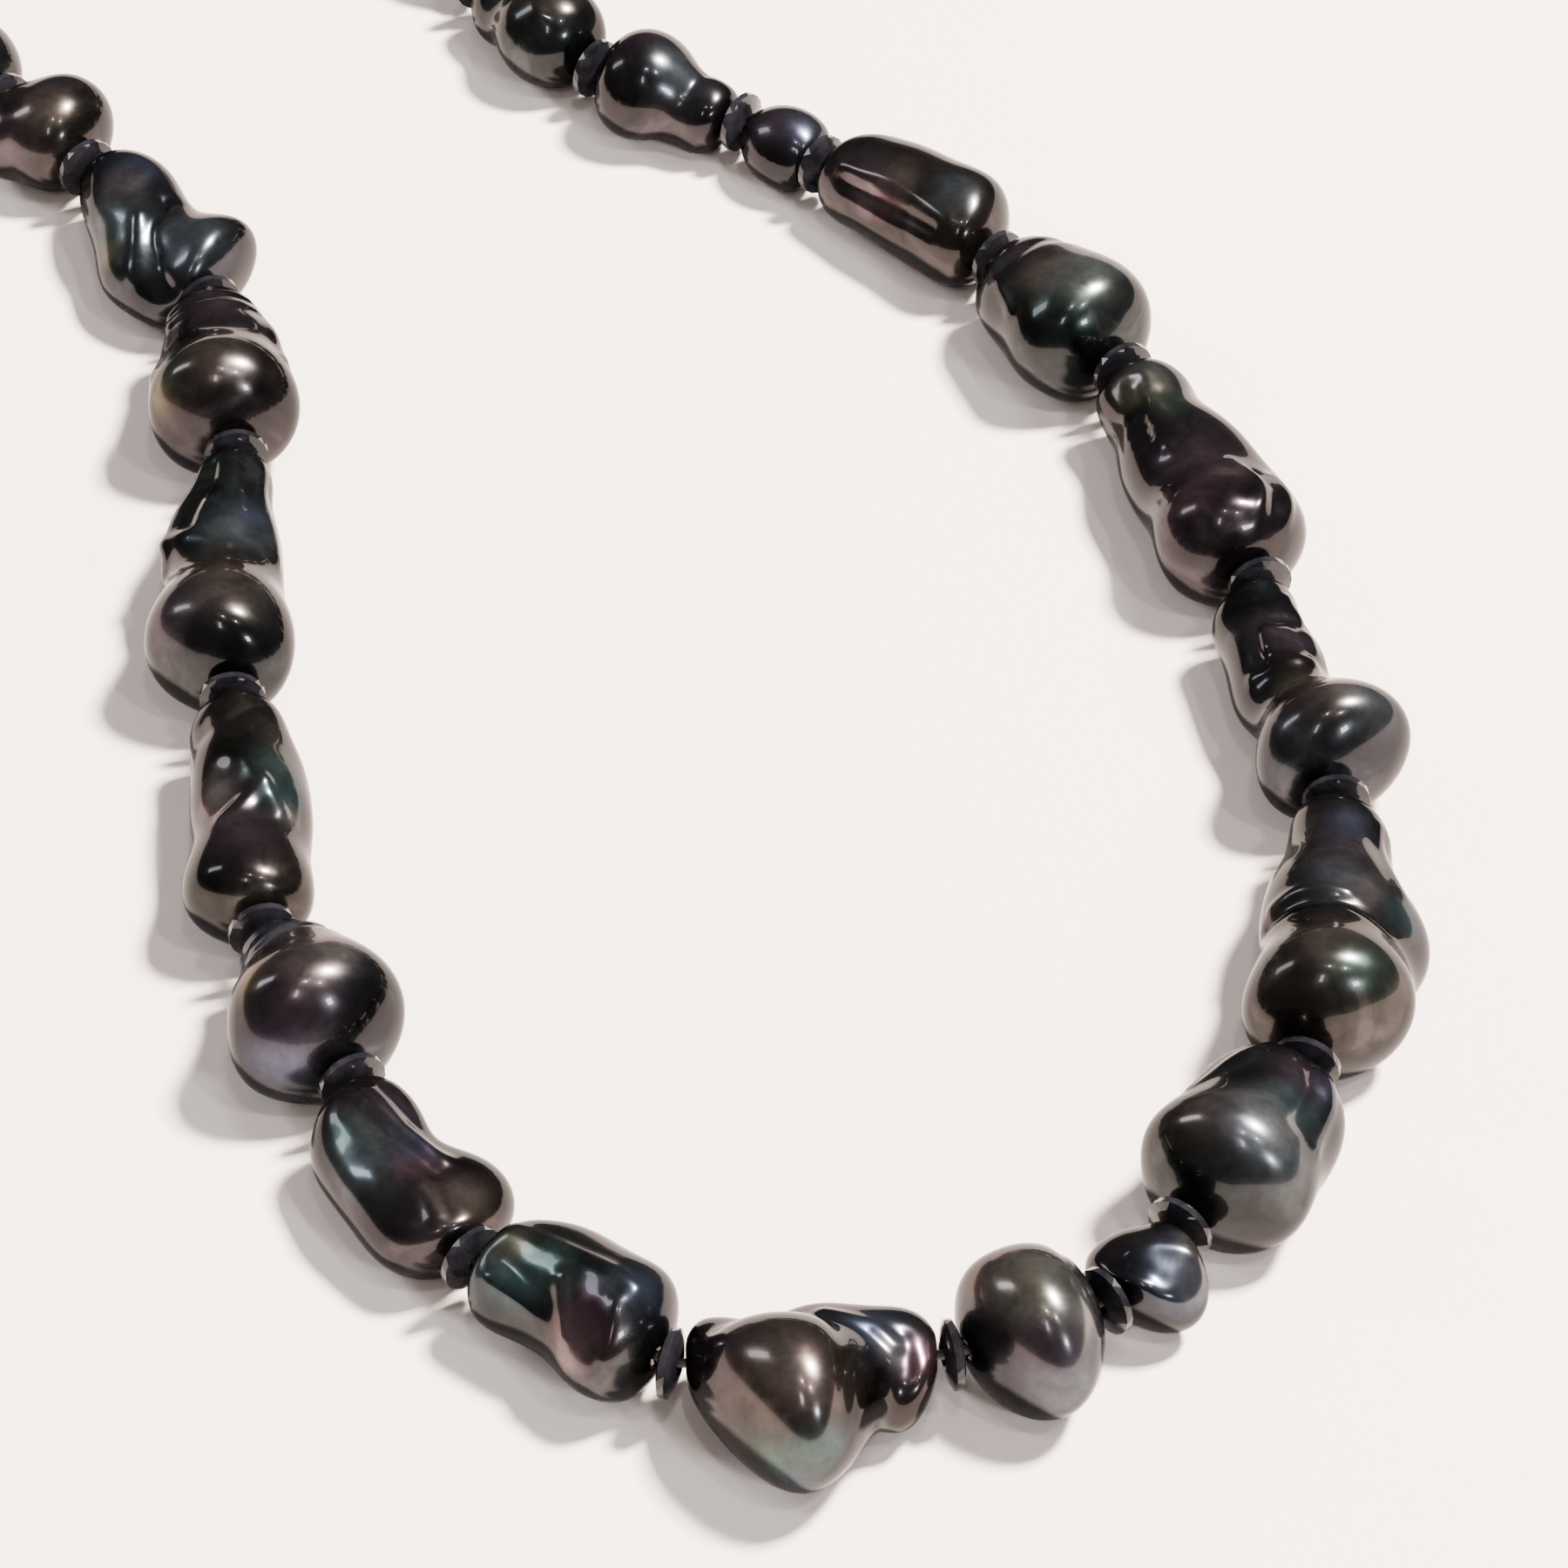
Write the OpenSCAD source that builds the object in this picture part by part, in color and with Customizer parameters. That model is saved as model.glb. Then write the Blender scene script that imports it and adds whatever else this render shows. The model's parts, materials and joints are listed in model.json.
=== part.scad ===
// A strand of drilled baroque pearls laid open on a table, with black disc spacers between the
// pearls, one stringing thread through them all and a lobster clasp at the open ends.
// Millimetres, +Z up, the table is Z = 0 and the strand's box is centred on the origin.

/* [Pearls] */
// Radius of the hole drilled through every pearl
pearl_hole_r = 0.5; // [0.45:0.05:0.55]
// Radius of the skin where it meets the drilled hole
pearl_mouth_r = 0.95; // [0.85:0.05:1.1]
// Radius that the core under the swellings reaches at mid pearl
core_r = 2.2; // [1.8:0.1:2.6]
// How sharply one swelling meets the next, higher is sharper
crease = 12; // [8:1:16]
// Flat sides round a pearl's skin
skin_sides = 20; // [12:4:20]
// Rings along a pearl's skin
skin_rings = 16; // [10:1:16]

/* [Spacers] */
// Radius of a spacer disc at its rim
spacer_r = 2.5; // [2.3:0.05:2.7]
// Thickness of a spacer disc beside its hole
spacer_t = 1.4; // [1.2:0.05:1.5]
// Thickness of a spacer disc at its rim
rim_t = 0.5; // [0.4:0.05:0.6]
// Radius of the flat ring round a spacer's hole
spacer_flat_r = 1.05; // [1.0:0.05:1.15]
// Radius of the hole through a spacer disc
spacer_hole_r = 0.75; // [0.7:0.05:0.8]
// Free gap between a spacer disc and the pearl beside it
bead_gap = 0.35; // [0.35:0.05:0.4]

/* [Thread] */
// Radius of the stringing thread
thread_r = 0.35; // [0.25:0.05:0.38]
// Radius of the knot at each end of the thread
knot_r = 1.0; // [0.8:0.05:1.2]

/* [Ends] */
// Outer radius of the hollow cover round each knot
cover_r = 2.2; // [2.1:0.05:2.3]
// Wall of the knot covers
cover_wall = 0.45; // [0.4:0.05:0.5]
// Mean radius of a jump ring
ring_r = 1.8; // [1.75:0.05:1.85]
// Radius of the jump rings' wire
ring_wire_r = 0.35; // [0.3:0.05:0.35]
// Downward slope of the fittings at the ring end, in degrees
ring_end_slope = 8; // [7:0.5:8.5]
// Downward slope of the fittings at the clasp end, in degrees
clasp_end_slope = 6; // [5:0.5:6]

/* [Clasp] */
// Radius of the hole that the clasp's claw closes on
tab_hole_r = 1.9; // [1.8:0.05:2.0]
// Thickness of the clasp tab
tab_t = 0.8; // [0.7:0.05:0.9]
// Outer radius of the clasp's claw
claw_r = 3.7; // [3.6:0.05:3.8]
// Radius of the space inside the claw
claw_inner_r = 2.3; // [2.2:0.05:2.4]
// Thickness of the clasp body
clasp_t = 2.4; // [2.2:0.1:2.4]
// Thickness of the clasp's spring lever
lever_t = 1.0; // [0.9:0.05:1.1]
// Radius of the lever's pivot pin
pivot_r = 0.4; // [0.35:0.05:0.45]
// Radial clearance of the lever on its pin
pivot_play = 0.05; // [0.04:0.01:0.08]

/* [Hidden] */
// The stringing line: the middle of each spacer, from the ring end of the strand to the clasp end.
stations = [
    [-62.0, 75.6, 3.6], [-51.0, 66.6, 4.0], [-40.5, 55.9, 4.2], [-33.0, 47.0, 4.6], [-25.5, 38.3, 4.8],
    [-14.5, 21.1, 5.2], [-11.3, 2.5, 5.6], [-10.0, -24.7, 5.8], [-6.5, -48.5, 5.6], [0.6, -63.2, 5.5],
    [9.5, -79.3, 5.1], [23.3, -88.9, 5.2], [42.4, -88.4, 5.5], [53.0, -83.4, 5.3], [58.3, -76.7, 5.3],
    [67.8, -61.9, 5.9], [71.4, -35.7, 6.0], [67.0, -12.0, 5.6], [57.5, 12.6, 5.5], [48.0, 26.6, 5.0],
    [34.0, 39.1, 4.5], [27.5, 45.1, 4.0], [15.4, 52.1, 4.0], [5.7, 63.6, 4.0], [1.1, 77.9, 3.6]
];
// Each pearl's swellings, strand order. A swelling is an ellipsoid:
// [place along the pearl 0 to 1, offset to the left, height of its middle above the table,
//  half length, half width, half height].
swellings = [
    [[0.42, 0.0, 4.7, 5.6, 4.7, 4.7], [0.78, 0.5, 3.8, 3.4, 3.6, 3.6]],
    [[0.34, -0.4, 4.2, 4.8, 4.3, 4.2], [0.68, 0.5, 4.5, 4.8, 4.8, 4.5]],
    [[0.52, 0.2, 4.4, 5.2, 4.5, 4.4], [0.26, 1.2, 3.4, 3.2, 3.4, 3.4]],
    [[0.55, 0.9, 4.8, 4.8, 5.1, 4.8], [0.3, -1.2, 4.0, 3.4, 4.3, 4.0]],
    [[0.26, 1.3, 4.3, 5.2, 3.9, 4.1], [0.5, 0.2, 4.2, 7.4, 4.4, 4.2], [0.84, 3.0, 4.6, 5.0, 5.4, 4.7],
     [0.66, -2.0, 3.4, 6.0, 3.4, 3.4]],
    [[0.2, 0.0, 4.9, 5.0, 3.9, 4.1], [0.74, -0.4, 6.1, 6.2, 6.1, 6.1], [0.46, 0.2, 5.0, 6.0, 5.0, 5.0]],
    [[0.12, -0.2, 5.0, 5.4, 3.0, 3.4], [0.45, -0.9, 4.8, 9.0, 4.7, 4.6],
     [0.78, -1.0, 5.9, 6.6, 5.9, 5.9]],
    [[0.15, 0.2, 4.9, 5.0, 3.6, 3.8], [0.45, 0.3, 4.6, 9.0, 4.6, 4.6], [0.8, -0.6, 4.8, 6.4, 4.9, 4.8]],
    [[0.16, 0.4, 5.0, 4.4, 3.0, 3.4], [0.42, 0.6, 5.4, 5.0, 4.8, 5.0], [0.68, -0.4, 6.4, 6.4, 6.7, 6.4]],
    [[0.24, -1.2, 4.2, 5.4, 4.4, 4.1], [0.54, -1.6, 4.0, 7.4, 4.3, 4.0],
     [0.82, -0.5, 3.8, 5.0, 4.0, 3.8], [0.7, 2.8, 3.5, 4.6, 3.4, 3.4]],
    [[0.2, 0.9, 4.3, 5.6, 4.2, 4.2], [0.48, 1.5, 4.8, 7.0, 4.7, 4.6], [0.76, 0.5, 5.0, 6.0, 5.2, 5.0]],
    [[0.38, -5.5, 6.5, 6.8, 6.8, 6.5], [0.18, 0.5, 3.9, 4.6, 3.6, 3.7],
     [0.56, 0.8, 4.2, 5.4, 3.9, 4.1], [0.76, 0.6, 4.0, 4.8, 4.0, 3.9], [0.88, -1.8, 3.4, 4.0, 3.4, 3.4]],
    [[0.44, -0.9, 6.0, 6.8, 6.4, 6.0], [0.8, 0.9, 4.6, 4.2, 4.8, 4.6]],
    [[0.42, 0.6, 3.5, 4.4, 3.4, 3.5], [0.7, -1.5, 3.6, 5.0, 4.0, 3.6], [0.24, -1.2, 3.5, 4.0, 4.1, 3.5]],
    [[0.23, -0.6, 6.5, 7.0, 6.6, 6.5], [0.54, -0.5, 5.7, 8.5, 5.7, 5.7], [0.9, -1.0, 4.9, 4.8, 3.9, 4.0]],
    [[0.19, -1.3, 6.3, 6.4, 6.5, 6.3], [0.51, -5.0, 3.7, 5.0, 3.8, 3.7],
     [0.52, -0.7, 5.3, 9.0, 5.2, 5.2], [0.84, -0.4, 5.0, 6.4, 3.8, 4.0]],
    [[0.18, -1.4, 6.1, 6.0, 6.5, 6.1], [0.62, 0.9, 4.5, 7.0, 3.8, 4.0], [0.88, 1.2, 4.5, 4.8, 3.6, 3.5]],
    [[0.2, 0.5, 5.6, 6.0, 5.6, 5.6], [0.28, -3.2, 4.2, 5.4, 3.9, 4.2], [0.5, -0.3, 4.9, 9.0, 5.2, 4.9],
     [0.86, -0.4, 4.4, 5.4, 4.0, 4.0]],
    [[0.32, -0.1, 5.8, 6.6, 6.3, 5.8], [0.6, 0.0, 5.2, 6.0, 5.3, 5.1], [0.84, -0.3, 4.4, 4.4, 4.0, 4.0]],
    [[0.24, -1.4, 4.8, 6.4, 4.8, 4.8], [0.52, -1.4, 4.5, 8.0, 4.7, 4.5], [0.8, -1.3, 4.1, 5.2, 4.1, 4.1]],
    [[0.48, -0.6, 3.4, 4.2, 3.5, 3.4]],
    [[0.26, 0.1, 3.4, 3.6, 3.2, 3.3], [0.64, 0.4, 4.6, 4.8, 4.7, 4.6]],
    [[0.36, 0.3, 4.5, 4.8, 4.6, 4.5], [0.74, -0.4, 3.8, 3.8, 3.8, 3.8]],
    [[0.5, 0.0, 4.7, 5.6, 4.8, 4.7]]
];
PEARLS = len(swellings);
SPACERS = PEARLS + 1;

// Names of the pearls and spacers: a word and two digits.
function numbered(word, n) = str(word, n < 10 ? "_0" : "_", n);

// Heading and rise of pearl n's drilled hole (n counts from 0), and its length between stations.
function run(n) = stations[n + 1] - stations[n];
function heading(n) = atan2(run(n)[1], run(n)[0]);
function rise(n) = asin(run(n)[2] / norm(run(n)));
end_play = spacer_t / 2 + bead_gap;
function pearl_length(n) = norm(run(n)) - 2 * end_play;
function hole_height(n, x) = stations[n][2] + x * sin(rise(n));

// Distance from the drilled hole's axis to the far side of one swelling, at x along the hole and
// in the direction (c, s) across it. It is 0 where the direction misses the swelling.
function reach(n, lobe, x, c, s) = let (
    mid = lobe[0] * norm(run(n)),
    left = lobe[1],
    up = lobe[2] - hole_height(n, mid),
    k = 1 - pow((x - mid) / lobe[3], 2),
    a = pow(c / lobe[4], 2) + pow(s / lobe[5], 2),
    b = c * left / pow(lobe[4], 2) + s * up / pow(lobe[5], 2),
    q = pow(left / lobe[4], 2) + pow(up / lobe[5], 2) - k,
    d = b * b - a * q
) k <= 0 || d <= 0 ? 0 : max(0, (b + sqrt(d)) / a);

// The core alone: mouth radius at both ends of the pearl, core_r at its middle, with blunt ends.
core_bluntness = 0.6;
function core(n, x) = pearl_mouth_r + (core_r - pearl_mouth_r)
    * pow(sin(180 * max(0, min(1, (x - end_play) / pearl_length(n)))), core_bluntness);

// The widest a skin may be near a spacer, so that the disc can tilt without touching it.
end_spread = 2.9;
end_power = 0.66;
function end_limit(n, x) = pearl_mouth_r
    + end_spread * pow(max(0, min(x - end_play, end_play + pearl_length(n) - x)), end_power);

// A pearl's skin radius: the swellings and the core blended by a high power mean, then held
// under the end limit by the same mean turned round.
end_blend = 8;
function skin(n, x, angle) = let (
    c = cos(angle),
    s = sin(angle),
    wide = pow(pow(core(n, x), crease)
        + total([for (l = swellings[n]) pow(reach(n, l, x, c, s), crease)]), 1 / crease)
) pow(pow(wide, -end_blend) + pow(end_limit(n, x), -end_blend), -1 / end_blend);
function total(list, i = 0) = i == len(list) ? 0 : list[i] + total(list, i + 1);

// Rings are closer together near both ends, where the skin turns in to the drilled hole.
function ring_x(n, i) = end_play + pearl_length(n) * (1 - cos(180 * i / skin_rings)) / 2;
function side_angle(j) = 360 * j / skin_sides;
function skin_radii(n) = [for (i = [0:skin_rings]) [for (j = [0:skin_sides - 1])
    i == 0 || i == skin_rings ? pearl_mouth_r : skin(n, ring_x(n, i), side_angle(j))]];

// The lower half is stretched or pressed by one factor, so the pearl just rests on the table.
function rest_factor(n, radii) = min([for (i = [0:skin_rings]) for (j = [0:skin_sides - 1])
    let (down = -radii[i][j] * sin(side_angle(j)) * cos(rise(n)))
    if (down > 1) hole_height(n, ring_x(n, i)) / down]);

function skin_points(n) = let (radii = skin_radii(n), press = rest_factor(n, radii))
    [for (i = [0:skin_rings]) for (j = [0:skin_sides - 1])
        let (y = radii[i][j] * cos(side_angle(j)), z = radii[i][j] * sin(side_angle(j)))
        [ring_x(n, i), y, z < 0 ? z * press : z]];

// Triangles of a closed tube: rings of points along it and a flat cap at each end.
function tube_faces(rings, sides) = concat(
    [[for (j = [0:sides - 1]) j]],
    [[for (j = [sides - 1:-1:0]) (rings - 1) * sides + j]],
    [for (i = [0:rings - 2]) for (j = [0:sides - 1])
        [i * sides + j, (i + 1) * sides + j, i * sides + (j + 1) % sides]],
    [for (i = [0:rings - 2]) for (j = [0:sides - 1])
        [(i + 1) * sides + j, (i + 1) * sides + (j + 1) % sides, i * sides + (j + 1) % sides]]);

// Puts its children on pearl n's hole: X along the hole, Y to the left, the first station at 0.
module on_pearl(n) translate(stations[n]) rotate([0, -rise(n), heading(n)]) children();

module pearl(n) color(pearl_colour(n)) on_pearl(n) difference() {
    polyhedron(skin_points(n), tube_faces(skin_rings + 1, skin_sides), convexity = 6);
    rotate([0, 90, 0]) cylinder(r = pearl_hole_r, h = norm(run(n)), $fn = 32);
}

// Four body tones of dyed nacre, taken in turn.
tones = [[0.13, 0.15, 0.16], [0.17, 0.12, 0.13], [0.12, 0.17, 0.15], [0.20, 0.19, 0.17]];
function pearl_colour(n) = tones[n % len(tones)];

// A spacer stands across the mean direction of the two holes beside it.
function mean_run(n) = let (
    a = n == 0 ? run(0) : run(n - 1),
    b = n == PEARLS ? run(PEARLS - 1) : run(n)
) a / norm(a) + b / norm(b);
function spacer_heading(n) = atan2(mean_run(n)[1], mean_run(n)[0]);
function spacer_rise(n) = asin(mean_run(n)[2] / norm(mean_run(n)));

module spacer(n) color([0.02, 0.02, 0.025])
    translate(stations[n]) rotate([0, 90 - spacer_rise(n), spacer_heading(n)])
    rotate_extrude($fn = 48) polygon([
        [spacer_hole_r, -spacer_t / 2], [spacer_flat_r, -spacer_t / 2], [spacer_r, -rim_t / 2],
        [spacer_r, rim_t / 2], [spacer_flat_r, spacer_t / 2], [spacer_hole_r, spacer_t / 2]]);

// The end fittings run on from the last spacers: X away from the strand, sloping to the table.
cover_gap = 0.3;
cover_x = spacer_t / 2 + cover_gap + cover_r;
loop_wire_r = 0.3;
loop_r = 1.15;
loop_overlap = 0.25;
loop_x = cover_x + cover_r + loop_r - loop_overlap;
ring_play = 0.12;
ring_near_x = loop_x + loop_r - loop_wire_r - ring_wire_r - ring_play;
ring_middle_x = ring_near_x + ring_r;
ring_far_x = ring_middle_x + ring_r;
tail_hole_r = 1.1;
tail_play = 0.25;
tail_x = ring_far_x + tail_hole_r - ring_wire_r - tail_play;
ring_end_heading = heading(0) + 180;
clasp_end_heading = heading(PEARLS - 1);

module on_ring_end() translate(stations[0]) rotate([0, ring_end_slope, ring_end_heading]) children();
module on_clasp_end() translate(stations[PEARLS]) rotate([0, clasp_end_slope, clasp_end_heading]) children();

// A point at distance x along an end fitting's axis, in the strand's own frame.
function end_point(station, slope, angle, x) = station
    + x * [cos(slope) * cos(angle), cos(slope) * sin(angle), -sin(slope)];

// The thread: a ring of points at every station and at both knots, square to its path there.
thread_path = concat([end_point(stations[0], ring_end_slope, ring_end_heading, cover_x)], stations,
    [end_point(stations[PEARLS], clasp_end_slope, clasp_end_heading, cover_x)]);
thread_sides = 8;
function unit(v) = v / norm(v);
function path_turn(p, i) = let (
    back = i == 0 ? p[1] - p[0] : p[i] - p[i - 1],
    on = i == len(p) - 1 ? p[i] - p[i - 1] : p[i + 1] - p[i]
) unit(unit(back) + unit(on));
function thread_points() = [for (i = [0:len(thread_path) - 1]) for (j = [0:thread_sides - 1]) let (
    t = path_turn(thread_path, i),
    left = unit([-t[1], t[0], 0]),
    up = cross(t, left),
    a = 360 * j / thread_sides
) thread_path[i] + thread_r * (cos(a) * left + sin(a) * up)];

module thread() color([0.03, 0.03, 0.035]) {
    polyhedron(thread_points(), tube_faces(len(thread_path), thread_sides), convexity = 10);
    for (p = [thread_path[0], thread_path[len(thread_path) - 1]]) translate(p) sphere(r = knot_r, $fn = 32);
}

// A hollow ball that hides the knot, open to the last spacer, with a loop on its far side.
cover_hole_r = 0.6;
silver = [0.62, 0.63, 0.65];
module knot_cover() color(silver) {
    difference() {
        translate([cover_x, 0, 0]) rotate([0, 0, 90]) sphere(r = cover_r, $fn = 48);
        translate([cover_x, 0, 0]) rotate([0, 0, 90]) sphere(r = cover_r - cover_wall, $fn = 48);
        rotate([0, 90, 0]) cylinder(r = cover_hole_r, h = cover_x, $fn = 24);
    }
    translate([loop_x, 0, 0]) rotate_extrude($fn = 36) translate([loop_r, 0]) circle(r = loop_wire_r, $fn = 24);
}

module jump_ring() color(silver)
    translate([ring_middle_x, 0, 0]) rotate([90, 0, 0])
    rotate_extrude($fn = 48) translate([ring_r, 0]) circle(r = ring_wire_r, $fn = 24);

// A flat tapered tab: a small hole for the jump ring and a large one for the claw.
tab_length = 6.4;
tab_wall = 1.2;
tab_hole_x = tail_x + tab_length;
module clasp_tab() color(silver) difference() {
    hull() {
        translate([tail_x, 0, -tab_t / 2]) cylinder(r = tail_hole_r + tab_wall, h = tab_t, $fn = 32);
        translate([tab_hole_x, 0, -tab_t / 2]) cylinder(r = tab_hole_r + tab_wall, h = tab_t, $fn = 32);
    }
    translate([tail_x, 0, -tab_t]) cylinder(r = tail_hole_r, h = 2 * tab_t, $fn = 32);
    translate([tab_hole_x, 0, -tab_t]) cylinder(r = tab_hole_r, h = 2 * tab_t, $fn = 48);
}

// The clasp: its claw is a ring round claw_x, open between two angles where the lever closes it.
neck_length = 7.6;
claw_x = tail_x + neck_length;
nose_root = 30;
mouth_from = 68;
mouth_to = 150;
claw_mid_r = (claw_r + claw_inner_r) / 2;
tail_wall = 0.9;
tail_t = 1.2;
// The lever's pivot stands just outside the claw's middle line, at this angle round claw_x.
pivot_angle = 165;
pivot_out = 0.35;
pivot_x = claw_x + (claw_mid_r + pivot_out) * cos(pivot_angle);
pivot_y = (claw_mid_r + pivot_out) * sin(pivot_angle) + pivot_out;
pivot_wall = 0.5;
slot_play = 0.15;
slot_t = lever_t + 2 * slot_play;
slot_back = 1.9;
slot_below = 1.3;
slot_size = 6;
// The lever's tip and the claw's nose meet on arcs round the pivot.
lever_reach = 5.0;
tip_play = 0.1;

// A flat sector of a ring between two radii and two angles.
sector_steps = 24;
function arc(r, from, to) = [for (k = [0:sector_steps])
    let (a = from + (to - from) * k / sector_steps) r * [cos(a), sin(a)]];
module ring_sector(inner, outer, from, to) polygon(concat(arc(outer, from, to), arc(inner, to, from)));

// The neck: from the tail's eye to the claw and the ears that hold the pin.
tail_half = 1.6;
throat_half = 2.2;
throat_wall = 0.3;
throat_rise = 0.5;
ear_r = 0.9;
ear_corner = 0.2;
ear_top = 0.7;
module clasp_neck() polygon([
    [tail_x, -tail_half], [claw_x - claw_mid_r, -throat_half],
    [claw_x - claw_inner_r - throat_wall, throat_rise],
    [pivot_x + ear_r, pivot_y + ear_corner], [pivot_x + ear_corner, pivot_y + ear_r],
    [pivot_x - ear_r, pivot_y + ear_top], [tail_x, tail_half]]);

// The nose: the claw's end, cut back on an arc that the lever's tip swings past.
module clasp_nose() difference() {
    translate([claw_x, 0]) ring_sector(claw_inner_r, claw_r, nose_root - 1, mouth_from);
    translate([pivot_x, pivot_y]) circle(r = lever_reach + tip_play, $fn = 96);
}

module clasp_body() color(silver) difference() {
    union() {
        translate([0, 0, -clasp_t / 2]) linear_extrude(clasp_t) {
            translate([claw_x, 0]) ring_sector(claw_inner_r, claw_r, mouth_to, 360 + nose_root);
            clasp_nose();
            clasp_neck();
        }
        // the eye that the jump ring passes through is thinner than the rest
        translate([tail_x, 0, -tail_t / 2]) cylinder(r = tail_hole_r + tail_wall, h = tail_t, $fn = 40);
    }
    translate([tail_x, 0, -clasp_t]) cylinder(r = tail_hole_r, h = 2 * clasp_t, $fn = 32);
    // the claw's inside, kept round where the neck joins it
    translate([claw_x, 0, -clasp_t]) cylinder(r = claw_inner_r, h = 2 * clasp_t, $fn = 48);
    // the slot that holds the lever's root and the spring
    translate([pivot_x - slot_back, pivot_y - slot_below, -slot_t / 2]) cube([slot_size, slot_size, slot_t]);
    translate([pivot_x, pivot_y, -clasp_t]) cylinder(r = pivot_r, h = 2 * clasp_t, $fn = 32);
}

// The lever: an arc across the claw's mouth, an eye round the pin and a thumb nib.
nib_from = 128;
nib_to = 140;
nib_out = 0.9;
lever_inset = 0.1;
module clasp_lever() color([0.7, 0.71, 0.73]) difference() {
    translate([0, 0, -lever_t / 2]) {
        intersection() {
            translate([claw_x, 0, 0]) linear_extrude(lever_t)
                ring_sector(claw_inner_r + lever_inset, claw_r - lever_inset, nose_root, mouth_to + 1);
            translate([pivot_x, pivot_y, 0]) cylinder(r = lever_reach, h = lever_t, $fn = 96);
        }
        translate([pivot_x, pivot_y, 0]) cylinder(r = pivot_r + pivot_play + pivot_wall, h = lever_t, $fn = 32);
        translate([claw_x, 0, 0]) linear_extrude(lever_t)
            ring_sector(claw_mid_r, claw_r + nib_out, nib_from, nib_to);
    }
    translate([pivot_x, pivot_y, -lever_t]) cylinder(r = pivot_r + pivot_play, h = 2 * lever_t, $fn = 32);
}

module clasp_pivot_pin() color([0.55, 0.56, 0.58])
    translate([pivot_x, pivot_y, -clasp_t / 2]) cylinder(r = pivot_r, h = clasp_t, $fn = 32);

// A leaf spring in the slot, pressing on the lever's eye.
spring_t = 0.2;
spring_length = 2.0;
spring_gap = 0.05;
spring_x = pivot_x - pivot_r - pivot_play - pivot_wall - spring_gap - spring_t;
spring_y = pivot_y - slot_below + spring_gap;
module clasp_spring() color([0.75, 0.72, 0.62])
    translate([spring_x, spring_y, -lever_t / 2]) cube([spring_t, spring_length, lever_t]);

for (n = [1:PEARLS]) pearl(n - 1);
for (n = [1:SPACERS]) spacer(n - 1);
thread();
on_ring_end() knot_cover();  // ring_end_cover
on_ring_end() jump_ring();  // ring_end_jump_ring
on_ring_end() clasp_tab();
on_clasp_end() knot_cover();  // clasp_end_cover
on_clasp_end() jump_ring();  // clasp_end_jump_ring
on_clasp_end() clasp_body();
on_clasp_end() clasp_lever();
on_clasp_end() clasp_pivot_pin();
on_clasp_end() clasp_spring();
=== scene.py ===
# %% [markdown]
# # A strand of dark baroque pearls
# The necklace has 24 pearls of free shape, each drilled from end to end. A thin black disc stands
# between every two pearls, and one silk thread runs through all of them. At the open ends the
# thread is knotted inside small silver cups, which lead to a clasp and to the tab that it closes on.
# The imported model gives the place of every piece. This lesson builds the finer surfaces around it.

# %% Load the frame
import json
import math
import bmesh
import bpy
import numpy as np
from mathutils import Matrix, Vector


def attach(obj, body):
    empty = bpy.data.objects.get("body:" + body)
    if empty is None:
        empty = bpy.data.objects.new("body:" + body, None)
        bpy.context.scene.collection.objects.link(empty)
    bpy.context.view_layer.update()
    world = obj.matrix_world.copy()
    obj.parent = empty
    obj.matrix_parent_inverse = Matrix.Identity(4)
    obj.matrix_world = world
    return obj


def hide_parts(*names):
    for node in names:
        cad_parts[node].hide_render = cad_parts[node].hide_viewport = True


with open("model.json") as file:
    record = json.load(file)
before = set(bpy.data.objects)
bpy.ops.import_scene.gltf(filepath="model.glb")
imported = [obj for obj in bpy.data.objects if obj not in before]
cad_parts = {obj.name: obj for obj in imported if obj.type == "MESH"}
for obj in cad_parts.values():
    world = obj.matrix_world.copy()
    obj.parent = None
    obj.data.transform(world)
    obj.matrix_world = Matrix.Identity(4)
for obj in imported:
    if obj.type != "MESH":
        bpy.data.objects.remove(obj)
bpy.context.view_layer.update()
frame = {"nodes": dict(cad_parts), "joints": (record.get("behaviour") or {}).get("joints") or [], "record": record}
MM = 0.001

# %% [markdown]
# ## Camera
# A jeweller lays a strand out flat and looks down on it at about half a right angle. A long lens
# keeps the near and far pearls at nearly the same size. A tilt to aim by hand would be guesswork, so
# the place follows from a target inside the loop, a distance and an angle of rise.

# %% Camera
VIEW_ELEVATION = 44.7
VIEW_DISTANCE = 507 * MM
VIEW_LENS = 156
view_target = np.array([31.0, -27.9, 0.0]) * MM


def add_camera():
    """Puts the camera back from its target by the distance, raised by the elevation."""
    data = bpy.data.cameras.new("camera")
    camera = bpy.data.objects.new("camera", data)
    bpy.context.scene.collection.objects.link(camera)
    rise = math.radians(VIEW_ELEVATION)
    back = np.array([0.0, -math.cos(rise), math.sin(rise)])
    camera.location = view_target + VIEW_DISTANCE * back
    camera.rotation_euler = (math.pi / 2 - rise, 0, 0)
    data.lens = VIEW_LENS
    data.sensor_width = 36
    data.clip_start = 0.01
    bpy.context.scene.camera = camera
    print("camera at", tuple(round(c, 3) for c in camera.location))


add_camera()

# %% [markdown]
# ## Shader nodes in few words
# Every material and group below is a small graph. These helpers add a node, set its plain values
# and join its sockets, so that a graph reads as a list of steps.

# %% Shader helpers
def node(tree, kind, inputs=None, **settings):
    """Adds a node. Settings are its own properties; inputs are values or sockets by name or number."""
    made = tree.nodes.new(kind)
    for name, value in settings.items():
        setattr(made, name, value)
    for name, value in (inputs or {}).items():
        if isinstance(value, bpy.types.NodeSocket):
            tree.links.new(value, made.inputs[name])
        else:
            made.inputs[name].default_value = value
    return made


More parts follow.
